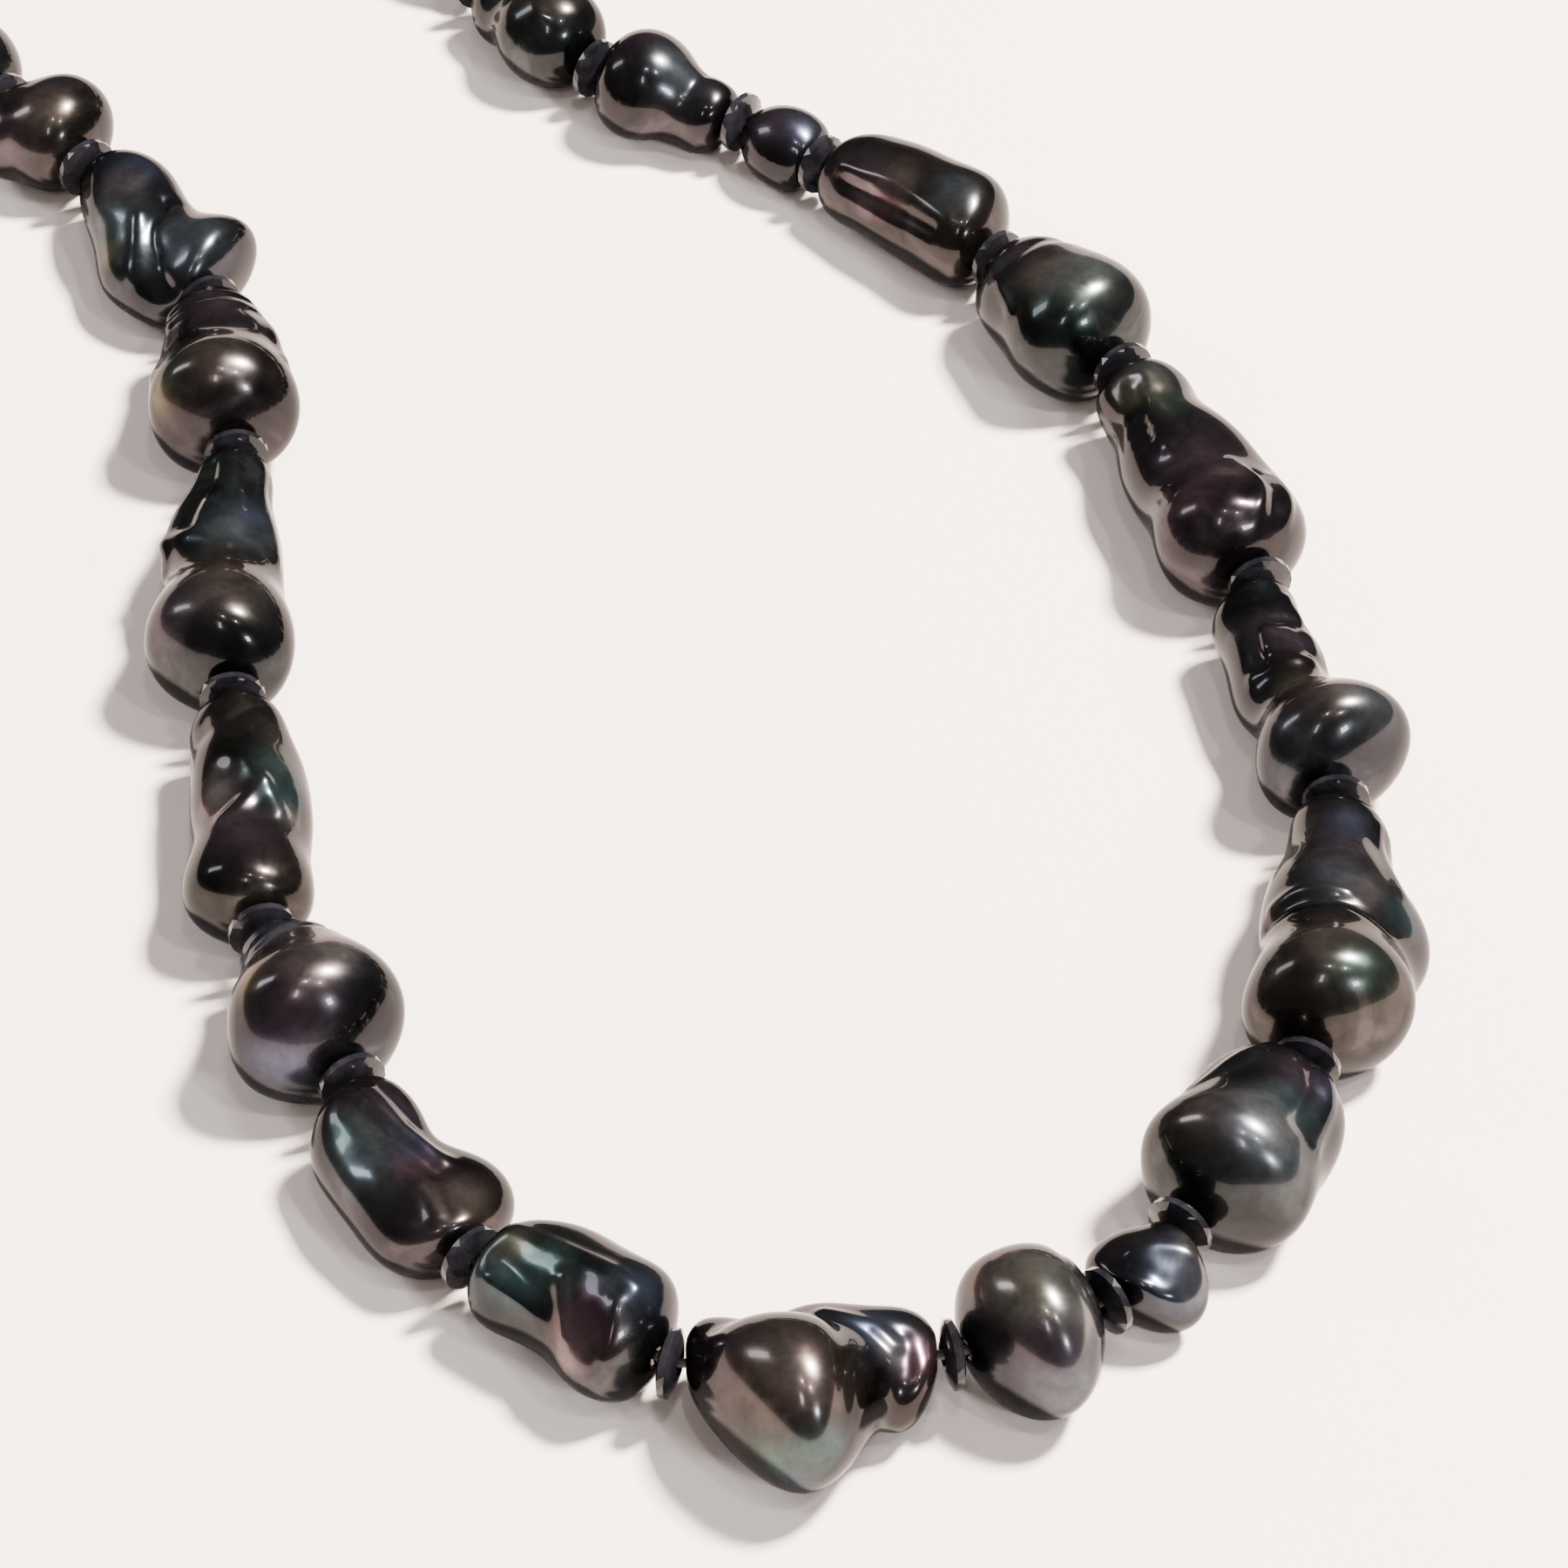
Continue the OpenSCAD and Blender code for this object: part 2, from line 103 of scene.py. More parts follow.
def new_group(name, inputs, outputs):
    """Starts a shader node group. inputs are (name, socket kind, first value), outputs (name, kind)."""
    tree = bpy.data.node_groups.new(name, "ShaderNodeTree")
    for label, kind, value in inputs:
        socket = tree.interface.new_socket(label, in_out="INPUT", socket_type=kind)
        socket.default_value = value
    for label, kind in outputs:
        tree.interface.new_socket(label, in_out="OUTPUT", socket_type=kind)
    return tree, tree.nodes.new("NodeGroupInput"), tree.nodes.new("NodeGroupOutput")


def new_material(name):
    """A node material with its Principled shader ready to be fed."""
    material = bpy.data.materials.new(name)
    material.use_nodes = True
    return material, material.node_tree, material.node_tree.nodes["Principled BSDF"]


def object_place(tree):
    """The Object coordinates of the piece, in metres."""
    return node(tree, "ShaderNodeTexCoord").outputs["Object"]


def ramp(tree, factor, stops):
    """A colour ramp with (place, colour) stops."""
    made = node(tree, "ShaderNodeValToRGB", {"Fac": factor})
    band = made.color_ramp
    while len(band.elements) < len(stops):
        band.elements.new(0.5)
    for element, (place, colour) in zip(band.elements, stops):
        element.position = place
        element.color = colour
    return made.outputs["Color"]


def grey(value):
    """A colour with the same value in red, green and blue."""
    return (value, value, value, 1.0)


print("shader helpers ready")

# %% [markdown]
# ## The floor
# The pearls lie on a warm, pale, matt board. A very fine grain keeps it from looking like plastic.
# Dark glossy pearls show the board in their lower sides, so its colour matters twice.

# %% Floor
FLOOR_COLOUR = (0.96, 0.82, 0.765, 1.0)
FLOOR_HALF = 1.2


def floor_material():
    """Matt card: one warm colour with a fine grain in its height."""
    material, tree, shader = new_material("floor_card")
    grain = node(tree, "ShaderNodeTexNoise", {
        "Vector": object_place(tree), "Scale": 900.0, "Detail": 3.0})
    bump = node(tree, "ShaderNodeBump", {
        "Height": grain.outputs["Fac"], "Strength": 0.12, "Distance": 0.0004})
    shader.inputs["Base Color"].default_value = FLOOR_COLOUR
    shader.inputs["Roughness"].default_value = 0.75
    shader.inputs["Specular IOR Level"].default_value = 0.25
    tree.links.new(bump.outputs["Normal"], shader.inputs["Normal"])
    return material


def add_floor():
    """One large square at the height that the pearls rest on."""
    mesh = bpy.data.meshes.new("floor")
    corners = [(-1, -1), (1, -1), (1, 1), (-1, 1)]
    mesh.from_pydata([(x * FLOOR_HALF, y * FLOOR_HALF, 0.0) for x, y in corners], [], [(0, 1, 2, 3)])
    floor = bpy.data.objects.new("floor", mesh)
    floor.data.materials.append(floor_material())
    bpy.context.scene.collection.objects.link(floor)


add_floor()

# %% [markdown]
# ## Light
# Glossy dark things show the room more than their own colour. The room here is dim. One strong warm
# light high on the right throws soft shadows to the left, a tall light stands behind the camera, and
# cool windows stand at the front right and far left. Two small lights leave a crisp sparkle on every
# swelling. Area lights are used because their shape shows in polished nacre.

# %% Lights
LIGHTS = {
    # name: (place in metres, width and height in metres, watts, colour)
    "key": ((0.62, 0.16, 1.15), (0.20, 0.20), 125.0, (1.0, 0.93, 0.87)),
    "front_window": ((0.75, -0.95, 0.66), (0.16, 0.16), 9.0, (0.92, 0.96, 1.0)),
    "front": ((-0.10, -1.05, 1.15), (0.10, 0.30), 3.0, (1.0, 0.97, 0.95)),
    "left_window": ((-0.95, 0.25, 0.70), (0.20, 0.50), 5.0, (0.88, 0.93, 1.0)),
    "spark_left": ((0.10, -0.45, 1.20), (0.04, 0.04), 2.0, (1.0, 0.97, 0.92)),
    "spark_right": ((0.50, -0.50, 1.10), (0.05, 0.05), 3.0, (1.0, 0.97, 0.94)),
}
ROOM_GREY = (0.30, 0.29, 0.29, 1.0)
ROOM_STRENGTH = 0.75


def add_lights():
    """Every light is an area light that faces the middle of the loop."""
    for name, (place, size, watts, colour) in LIGHTS.items():
        data = bpy.data.lights.new(name, "AREA")
        data.shape = "RECTANGLE"
        data.size, data.size_y = size
        data.energy = watts
        data.color = colour
        lamp = bpy.data.objects.new(name, data)
        lamp.location = place
        aim = Vector(view_target) - lamp.location
        lamp.rotation_euler = aim.to_track_quat("-Z", "Y").to_euler()
        bpy.context.scene.collection.objects.link(lamp)
    world = bpy.data.worlds.new("room")
    bpy.context.scene.world = world
    world.use_nodes = True
    world.node_tree.nodes["Background"].inputs["Color"].default_value = ROOM_GREY
    world.node_tree.nodes["Background"].inputs["Strength"].default_value = ROOM_STRENGTH
    print("lights", len(LIGHTS))


add_lights()

# %% [markdown]
# ## The stringing line
# Each spacer disc is a joint of the strand, so the joints of the frame already say where the 25
# stations are. Pearl n hangs between station n and station n + 1. Its own axes are: X along the
# drilled hole, Y to the left of it on the table, and Z up. Working in a pearl's own axes lets one set
# of formulas make all 24 pearls.

# %% Stations
stations = np.array([
    joint["pos_m"] for joint in sorted(frame["joints"], key=lambda joint: joint["name"])
    if joint["name"].startswith("lift_")]) / MM
PEARLS = len(stations) - 1
SPACER_T = 1.4
BEAD_GAP = 0.35
END_PLAY = SPACER_T / 2 + BEAD_GAP


def hole_axes(n):
    """Unit vectors along the hole of pearl n (counted from 0), to its left and up from it, as rows."""
    run = stations[n + 1] - stations[n]
    along = run / np.linalg.norm(run)
    left = np.array([-along[1], along[0], 0.0])
    left = left / np.linalg.norm(left)
    return np.array([along, left, np.cross(along, left)])


def hole_length(n):
    """Distance between the two stations that pearl n hangs between."""
    return np.linalg.norm(stations[n + 1] - stations[n])


print("stations", len(stations), "line", round(sum(hole_length(n) for n in range(PEARLS))), "mm")

# %% [markdown]
# ## The shape of a baroque pearl
# A baroque pearl grows as several swellings that run together. Each swelling here is an ellipsoid
# beside the hole. From a point on the hole, a ray at every angle leaves each ellipsoid at some
# distance, and a high power mean of those distances keeps the crease where two swellings meet.
# Joining real ellipsoids with a boolean would leave knife edges where they meet; this way every
# point of the skin is one number, its distance from the hole.

# %% Swellings of every pearl
# [place along the pearl 0 to 1, offset to the left, height of its middle above the table,
#  half length, half width, half height], in millimetres
SWELLINGS = [
    [[0.42, 0.0, 4.7, 5.6, 4.7, 4.7], [0.78, 0.5, 3.8, 3.4, 3.6, 3.6]],
    [[0.34, -0.4, 4.2, 4.8, 4.3, 4.2], [0.68, 0.5, 4.5, 4.8, 4.8, 4.5]],
    [[0.52, 0.2, 4.4, 5.2, 4.5, 4.4], [0.26, 1.2, 3.4, 3.2, 3.4, 3.4]],
    [[0.55, 0.9, 4.8, 4.8, 5.1, 4.8], [0.3, -1.2, 4.0, 3.4, 4.3, 4.0]],
    [[0.26, 1.3, 4.3, 5.2, 3.9, 4.1], [0.5, 0.2, 4.2, 7.4, 4.4, 4.2], [0.84, 3.0, 4.6, 5.0, 5.4, 4.7],
     [0.66, -2.0, 3.4, 6.0, 3.4, 3.4]],
    [[0.2, 0.0, 4.9, 5.0, 3.9, 4.1], [0.74, -0.4, 6.1, 6.2, 6.1, 6.1], [0.46, 0.2, 5.0, 6.0, 5.0, 5.0]],
    [[0.12, -0.2, 5.0, 5.4, 3.0, 3.4], [0.45, -0.9, 4.8, 9.0, 4.7, 4.6],
     [0.78, -1.0, 5.9, 6.6, 5.9, 5.9]],
    [[0.15, 0.2, 4.9, 5.0, 3.6, 3.8], [0.45, 0.3, 4.6, 9.0, 4.6, 4.6], [0.8, -0.6, 4.8, 6.4, 4.9, 4.8]],
    [[0.16, 0.4, 5.0, 4.4, 3.0, 3.4], [0.42, 0.6, 5.4, 5.0, 4.8, 5.0], [0.68, -0.4, 6.4, 6.4, 6.7, 6.4]],
    [[0.24, -1.2, 4.2, 5.4, 4.4, 4.1], [0.54, -1.6, 4.0, 7.4, 4.3, 4.0],
     [0.82, -0.5, 3.8, 5.0, 4.0, 3.8], [0.7, 2.8, 3.5, 4.6, 3.4, 3.4]],
    [[0.2, 0.9, 4.3, 5.6, 4.2, 4.2], [0.48, 1.5, 4.8, 7.0, 4.7, 4.6], [0.76, 0.5, 5.0, 6.0, 5.2, 5.0]],
    [[0.38, -5.5, 6.5, 6.8, 6.8, 6.5], [0.18, 0.5, 3.9, 4.6, 3.6, 3.7],
     [0.56, 0.8, 4.2, 5.4, 3.9, 4.1], [0.76, 0.6, 4.0, 4.8, 4.0, 3.9], [0.88, -1.8, 3.4, 4.0, 3.4, 3.4]],
    [[0.44, -0.9, 6.0, 6.8, 6.4, 6.0], [0.8, 0.9, 4.6, 4.2, 4.8, 4.6]],
    [[0.42, 0.6, 3.5, 4.4, 3.4, 3.5], [0.7, -1.5, 3.6, 5.0, 4.0, 3.6], [0.24, -1.2, 3.5, 4.0, 4.1, 3.5]],
    [[0.23, -0.6, 6.5, 7.0, 6.6, 6.5], [0.54, -0.5, 5.7, 8.5, 5.7, 5.7], [0.9, -1.0, 4.9, 4.8, 3.9, 4.0]],
    [[0.19, -1.3, 6.3, 6.4, 6.5, 6.3], [0.51, -5.0, 3.7, 5.0, 3.8, 3.7],
     [0.52, -0.7, 5.3, 9.0, 5.2, 5.2], [0.84, -0.4, 5.0, 6.4, 3.8, 4.0]],
    [[0.18, -1.4, 6.1, 6.0, 6.5, 6.1], [0.62, 0.9, 4.5, 7.0, 3.8, 4.0], [0.88, 1.2, 4.5, 4.8, 3.6, 3.5]],
    [[0.2, 0.5, 5.6, 6.0, 5.6, 5.6], [0.28, -3.2, 4.2, 5.4, 3.9, 4.2], [0.5, -0.3, 4.9, 9.0, 5.2, 4.9],
     [0.86, -0.4, 4.4, 5.4, 4.0, 4.0]],
    [[0.32, -0.1, 5.8, 6.6, 6.3, 5.8], [0.6, 0.0, 5.2, 6.0, 5.3, 5.1], [0.84, -0.3, 4.4, 4.4, 4.0, 4.0]],
    [[0.24, -1.4, 4.8, 6.4, 4.8, 4.8], [0.52, -1.4, 4.5, 8.0, 4.7, 4.5], [0.8, -1.3, 4.1, 5.2, 4.1, 4.1]],
    [[0.48, -0.6, 3.4, 4.2, 3.5, 3.4]],
    [[0.26, 0.1, 3.4, 3.6, 3.2, 3.3], [0.64, 0.4, 4.6, 4.8, 4.7, 4.6]],
    [[0.36, 0.3, 4.5, 4.8, 4.6, 4.5], [0.74, -0.4, 3.8, 3.8, 3.8, 3.8]],
    [[0.5, 0.0, 4.7, 5.6, 4.8, 4.7]],
]
print("swellings", sum(len(pearl) for pearl in SWELLINGS))

# %% [markdown]
# ## Folds
# Nacre wrinkles as it grows, most of all at the waist between two swellings. A fold is a narrow ridge
# or groove that follows a few points on the skin. Sculpting would hide how a fold is made, so each
# one is a height, a width and a short list of points. All of them are then softened together.

# %% Folds of every pearl
FOLD_RISE = 0.75
FOLD_SPREAD = 1.45
# Pearl number: [(height in mm, width in mm, [(place 0 to 1, angle in degrees), ...]), ...]
# Angle 0 is the pearl's left side, 90 its top, 180 its right side. A negative height is a groove.
# FOLD_RISE and FOLD_SPREAD scale every height and every width.
FOLDS = {
    1: [(0.25, 0.5, [(0.30, 60), (0.60, 90)])],
    2: [(-0.25, 0.5, [(0.52, 40), (0.50, 90), (0.53, 140)])],
    3: [(0.25, 0.5, [(0.40, 60), (0.55, 100), (0.70, 120)])],
    4: [(-0.25, 0.8, [(0.30, 60), (0.36, 100), (0.34, 140)])],
    5: [(-0.7, 0.55, [(0.52, 60), (0.60, 95), (0.68, 125), (0.78, 150), (0.88, 165)]),
        (0.4, 0.5, [(0.55, 110), (0.66, 140), (0.76, 165)]),
        (0.25, 0.7, [(0.15, 110), (0.45, 100)])],
    6: [(0.3, 0.4, [(0.10, 40), (0.11, 95), (0.10, 150)]),
        (0.3, 0.4, [(0.17, 40), (0.18, 95), (0.17, 150)]),
        (0.28, 0.45, [(0.24, 40), (0.26, 95), (0.24, 150)]), (0.35, 0.5, [(0.20, 25), (0.60, 30)]),
        (0.35, 0.5, [(0.20, 160), (0.60, 155)])],
    7: [(0.4, 0.45, [(0.10, 150), (0.30, 160), (0.52, 172)]), (0.4, 0.45, [(0.10, 35), (0.50, 25)]),
        (-0.35, 0.4, [(0.12, 125), (0.40, 140)]),
        (0.45, 0.5, [(0.42, 165), (0.46, 130), (0.52, 95)]), (-0.3, 0.5, [(0.10, 70), (0.45, 65)])],
    8: [(0.5, 0.5, [(0.42, 85), (0.52, 70), (0.58, 95), (0.64, 120)]),
        (0.4, 0.5, [(0.52, 70), (0.62, 50)]), (-0.5, 0.9, [(0.43, 115), (0.50, 120)]),
        (-0.35, 0.8, [(0.17, 150), (0.21, 148)]), (-0.3, 0.8, [(0.66, 80), (0.70, 85)])],
    9: [(-0.23, 0.35, [(0.28, 35), (0.27, 90), (0.29, 140)]), (0.2, 0.4, [(0.22, 40), (0.21, 130)])],
    10: [(0.5, 0.6, [(0.20, 100), (0.40, 85), (0.60, 50)]),
         (-0.5, 0.6, [(0.25, 125), (0.45, 110), (0.66, 75)]),
         (0.3, 0.5, [(0.70, 110), (0.85, 120)])],
    11: [(0.5, 0.6, [(0.10, 70), (0.40, 75), (0.80, 80)]), (-0.6, 1.4, [(0.60, 125), (0.72, 135)]),
         (0.4, 0.5, [(0.50, 100), (0.62, 150)]), (0.35, 0.5, [(0.78, 100), (0.84, 150)]),
         (-0.4, 0.6, [(0.20, 110), (0.45, 120)]), (0.35, 0.5, [(0.20, 135), (0.45, 150)])],
    12: [(-0.5, 0.5, [(0.55, 80), (0.62, 120), (0.60, 160)]),
         (0.35, 0.45, [(0.55, 60), (0.72, 80), (0.80, 110)]),
         (-0.3, 0.5, [(0.82, 90), (0.84, 150)])],
    13: [(0.35, 0.4, [(0.84, 40), (0.85, 90), (0.84, 130)]),
         (-0.3, 0.35, [(0.78, 40), (0.79, 130)])],
    14: [(0.25, 0.5, [(0.40, 80), (0.55, 110), (0.70, 150)]),
         (-0.3, 0.5, [(0.25, 100), (0.30, 150)])],
    15: [(0.4, 0.5, [(0.50, 150), (0.70, 145), (0.90, 130)]),
         (-0.35, 0.5, [(0.50, 130), (0.70, 128), (0.88, 110)]),
         (0.3, 0.35, [(0.45, 50), (0.70, 60), (0.85, 70)]), (0.25, 0.35, [(0.50, 35), (0.80, 45)])],
    16: [(-0.45, 0.4, [(0.43, 20), (0.45, 60), (0.45, 110), (0.42, 150)]),
         (0.3, 0.4, [(0.60, 160), (0.85, 150)]), (0.3, 0.35, [(0.48, 30), (0.50, 70), (0.49, 110)])],
    17: [(-0.5, 0.6, [(0.72, 60), (0.73, 100), (0.71, 140)]), (0.35, 0.4, [(0.60, 55), (0.85, 60)]),
         (-0.35, 0.4, [(0.55, 40), (0.70, 50), (0.90, 80)]), (0.3, 0.4, [(0.52, 20), (0.53, 120)]),
         (0.3, 0.4, [(0.60, 140), (0.85, 130)])],
    18: [(0.4, 0.4, [(0.08, 100), (0.20, 120), (0.35, 110)]),
         (0.4, 0.4, [(0.10, 140), (0.30, 150)]), (-0.4, 0.5, [(0.12, 120), (0.30, 130)]),
         (0.35, 0.5, [(0.50, 60), (0.70, 70), (0.85, 90)]), (-0.4, 0.6, [(0.55, 90), (0.75, 100)]),
         (-0.4, 0.8, [(0.60, 45), (0.64, 45)]), (-0.35, 0.8, [(0.78, 60), (0.82, 62)])],
    19: [(-0.3, 0.5, [(0.70, 50), (0.72, 100), (0.70, 140)]), (0.25, 0.4, [(0.50, 30), (0.80, 50)])],
    20: [(0.35, 0.5, [(0.20, 60), (0.50, 70), (0.80, 60)]), (-0.3, 0.5, [(0.25, 40), (0.75, 40)])],
    22: [(-0.2, 0.4, [(0.30, 60), (0.30, 120)])],
    23: [(0.25, 0.5, [(0.30, 60), (0.60, 90)])],
}
print("folds", sum(len(folds) for folds in FOLDS.values()))

# %% [markdown]
# ## The skin
# The skin is worked out in the order of its making: a thin core round the hole, the swellings over
# it, a limit that turns both ends in to the discs, and last the folds. Each step is a function of the
# distance x along the hole and of the angle round it, on whole arrays at once.

# %% Core and swellings
MOUTH_R = 0.95
CORE_R = 2.2
CORE_BLUNTNESS = 0.6
CREASE = 12


def hole_height(n, x):
    """Height of the hole above the table at distance x along it."""
    return stations[n][2] + x * hole_axes(n)[0][2]


def core_radius(n, x):
    """The plain core: the mouth's radius at both ends and CORE_R at mid pearl, as half a sine wave
    to the power CORE_BLUNTNESS, which makes its ends blunt."""
    share = np.clip((x - END_PLAY) / (hole_length(n) - 2 * END_PLAY), 0, 1)
    return MOUTH_R + (CORE_R - MOUTH_R) * np.sin(np.pi * share) ** CORE_BLUNTNESS


def swelling_reach(n, swelling, x, angle):
    """Distance from the hole's axis to the far side of an ellipsoid, 0 where the ray misses it.

    With the ellipsoid's middle at (left, up), the ray's point r*(cos, sin) is on it where
    (r*cos - left)^2 / width^2 + (r*sin - up)^2 / height^2 = 1 - ((x - mid) / half length)^2.
    That is square*r^2 - 2*cross*r + rest = 0, and the far side is its larger root.
    """
    place, left, table_height, half_l, half_w, half_h = swelling
    mid = place * hole_length(n)
    up = table_height - hole_height(n, mid)
    cos, sin = np.cos(angle), np.sin(angle)
    room = 1 - ((x - mid) / half_l) ** 2
    square = (cos / half_w) ** 2 + (sin / half_h) ** 2
    cross = cos * left / half_w ** 2 + sin * up / half_h ** 2
    rest = (left / half_w) ** 2 + (up / half_h) ** 2 - room
    under_root = cross ** 2 - square * rest
    hit = (room > 0) & (under_root > 0)
    return np.where(hit, np.maximum(0, (cross + np.sqrt(np.where(hit, under_root, 0))) / square), 0)


print("core", 2 * CORE_R, "mm thick, mouths", 2 * MOUTH_R, "mm")

# %% Ends that turn in to the discs
END_SPREAD = 2.9
END_POWER = 0.66
END_BLEND = 8


def end_limit(n, x):
    """The widest the skin may be near a disc: MOUTH_R + END_SPREAD * distance ** END_POWER."""
    near = np.minimum(x - END_PLAY, hole_length(n) - END_PLAY - x)
    return MOUTH_R + END_SPREAD * np.maximum(near, 0) ** END_POWER


def smooth_radius(n, x, angle):
    """Power mean of the core and of every swelling's reach, kept under the limit of both ends."""
    total = core_radius(n, x) ** CREASE
    for swelling in SWELLINGS[n]:
        total = total + swelling_reach(n, swelling, x, angle) ** CREASE
    wide = total ** (1 / CREASE)
    return (wide ** -END_BLEND + end_limit(n, x) ** -END_BLEND) ** (-1 / END_BLEND)


print("one mm from a disc a pearl may be", round(2 * (MOUTH_R + END_SPREAD), 1), "mm thick")

# %% Folds and unevenness
UNEVEN_MM = 0.30
WAVES = 9
MOST_TURNS = 5
WAVE_PACE = (0.25, 0.9)


def fold_height(n, x, angle, radius):
    """Sum of the folds: FOLD_RISE * height * exp(-(distance / (FOLD_SPREAD * width))^2), with the
    distance measured on the skin to the fold's line of points."""
    length = hole_length(n)
    total = np.zeros_like(radius)
    for height, width, points in FOLDS.get(n + 1, []):
        nearest = np.full_like(radius, np.inf)
        for (place_a, angle_a), (place_b, angle_b) in zip(points[:-1], points[1:]):
            turn = (np.degrees(angle) - angle_a + 180) % 360 - 180
            px, py = x - place_a * length, np.radians(turn) * radius
            qx = (place_b - place_a) * length
            qy = np.radians(angle_b - angle_a) * radius
            share = np.clip((px * qx + py * qy) / (qx ** 2 + qy ** 2), 0, 1)
            nearest = np.minimum(nearest, np.hypot(px - share * qx, py - share * qy))
        total = total + FOLD_RISE * height * np.exp(-(nearest / (FOLD_SPREAD * width)) ** 2)
    return total


def unevenness(n, x, angle):
    """A faint waviness: a few sine waves of the place and of whole turns round the hole."""
    dice = np.random.default_rng(100 + n)
    total = np.zeros_like(x)
    for _ in range(WAVES):
        turns = dice.integers(1, MOST_TURNS)
        pace = dice.uniform(*WAVE_PACE)
        total = total + np.sin(turns * angle + pace * x + dice.uniform(0, 6.28)) / WAVES
    return total


print("unevenness up to", UNEVEN_MM, "mm")

# %% The skin as a grid
PEARL_RINGS = 128
PEARL_SIDES = 112
SOFT_PASSES = 90
FADE_SHARE = 0.12
CORE_KEPT = 0.9
LOW_MM = 1.0


def softened(radius):
    """Creases rounded off: every point takes the mean of itself and its four neighbours, in turns."""
    for _ in range(SOFT_PASSES):
        padded = np.concatenate([radius[:1], radius, radius[-1:]])
        beside = np.roll(radius, 1, axis=1) + np.roll(radius, -1, axis=1)
        radius = (radius * 2 + padded[:-2] + padded[2:] + beside) / 6
    return radius


def pearl_radii(n, x, angle):
    """Radius of the skin at x along the hole and at an angle round it, on a grid of both. The folds
    and the unevenness fade out, as 3t^2 - 2t^3, over the last FADE_SHARE of the pearl at each end."""
    length = hole_length(n)
    share = np.clip((x - END_PLAY) / (length - 2 * END_PLAY), 0, 1)
    fade = np.clip(np.minimum(share, 1 - share) / FADE_SHARE, 0, 1)
    fade = fade * fade * (3 - 2 * fade)
    radius = softened(smooth_radius(n, x, angle))
    radius = radius + fade * (fold_height(n, x, angle, radius) + UNEVEN_MM * unevenness(n, x, angle))
    return np.clip(radius, core_radius(n, x) * CORE_KEPT, end_limit(n, x))


def pearl_grid(n, rings=PEARL_RINGS, sides=PEARL_SIDES):
    """The skin as a grid of points in the pearl's own axes. Rings crowd together at both ends, as
    (1 - cos) / 2 does, and the lower half is pressed so that the lowest point is on the table."""
    step = np.linspace(0, 1, rings)
    x = END_PLAY + (hole_length(n) - 2 * END_PLAY) * (1 - np.cos(np.pi * step)) / 2
    angle = np.linspace(0, 2 * np.pi, sides, endpoint=False)
    x, angle = np.meshgrid(x, angle, indexing="ij")
    radius = pearl_radii(n, x, angle)
    y, z = radius * np.cos(angle), radius * np.sin(angle)
    down = -z * np.hypot(*hole_axes(n)[0][:2])
    low = down > LOW_MM
    press = np.min(hole_height(n, x)[low] / down[low])
    z = np.where(z < 0, z * press, z)
    return np.stack([x, y, z], axis=-1)


def to_table(n, points):
    """Points in the axes of pearl n, turned into the strand's own frame, in millimetres."""
    return stations[n] + points @ hole_axes(n)


first_skin = pearl_grid(0)
print("pearl 1 is", np.round(np.ptp(first_skin, axis=(0, 1)), 1), "mm long, wide and high")

# %% [markdown]
# ## From a grid of points to a closed mesh
# A grid whose rows run round a piece becomes a tube. The two ends of the tube are joined to each
# other, through the drilled hole, when the piece is a ring in section, so that no edge is open. A
# hole cut with a boolean would tear the fine grid of the skin; a second tube inside keeps it whole.

# %% Mesh helpers
def tube_quads(rings, sides, close_rings):
    """Quads between neighbouring rings, and from the last ring to the first where close_rings."""
    last = rings if close_rings else rings - 1
    i, j = np.meshgrid(np.arange(last), np.arange(sides), indexing="ij")
    right, on = (j + 1) % sides, (i + 1) % rings
    quads = np.stack([i * sides + j, i * sides + right, on * sides + right, on * sides + j], axis=-1)
    return quads.reshape(-1, 4)


def make_piece(name, points, faces, body, smooth=True, caps=()):
    """A mesh object in the strand's frame, from points in millimetres, riding on a CAD body."""
    mesh = bpy.data.meshes.new(name)
    all_faces = faces.tolist() + [list(cap) for cap in caps]
    mesh.from_pydata((points.reshape(-1, 3) * MM).tolist(), [], all_faces)
    mesh.polygons.foreach_set("use_smooth", np.full(len(mesh.polygons), smooth))
    mesh.update()
    piece = bpy.data.objects.new(name, mesh)
    bpy.context.scene.collection.objects.link(piece)
    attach(piece, body)
    return piece


def numbered(word, n):
    """A name with a two-figure number, such as pearl_07."""
    return f"{word}_{n:02d}"


print("mesh helpers ready")

# %% Pearl meshes
HOLE_R = 0.5
BORE_RINGS = 8


def pearl_bore(n, sides=PEARL_SIDES, rings=BORE_RINGS):
    """Points along the drilled hole, from the far mouth back to the near one."""
    x = np.linspace(hole_length(n) - END_PLAY, END_PLAY, rings)
    angle = np.linspace(0, 2 * np.pi, sides, endpoint=False)
    x, angle = np.meshgrid(x, angle, indexing="ij")
    return np.stack([x, HOLE_R * np.cos(angle), HOLE_R * np.sin(angle)], axis=-1)


def add_pearl(n):
    """The skin, then back through the hole: one closed surface with a ring for its section."""
    skin = pearl_grid(n)
    grid = np.concatenate([skin, pearl_bore(n)])
    quads = tube_quads(len(grid), PEARL_SIDES, close_rings=True)
    name = numbered("pearl", n + 1)
    piece = make_piece(numbered("nacre", n + 1), to_table(n, grid), quads, name)
    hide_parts(name)
    return piece


pearl_pieces = [add_pearl(n) for n in range(PEARLS)]
print("pearls", len(pearl_pieces), "points each", PEARL_RINGS * PEARL_SIDES)

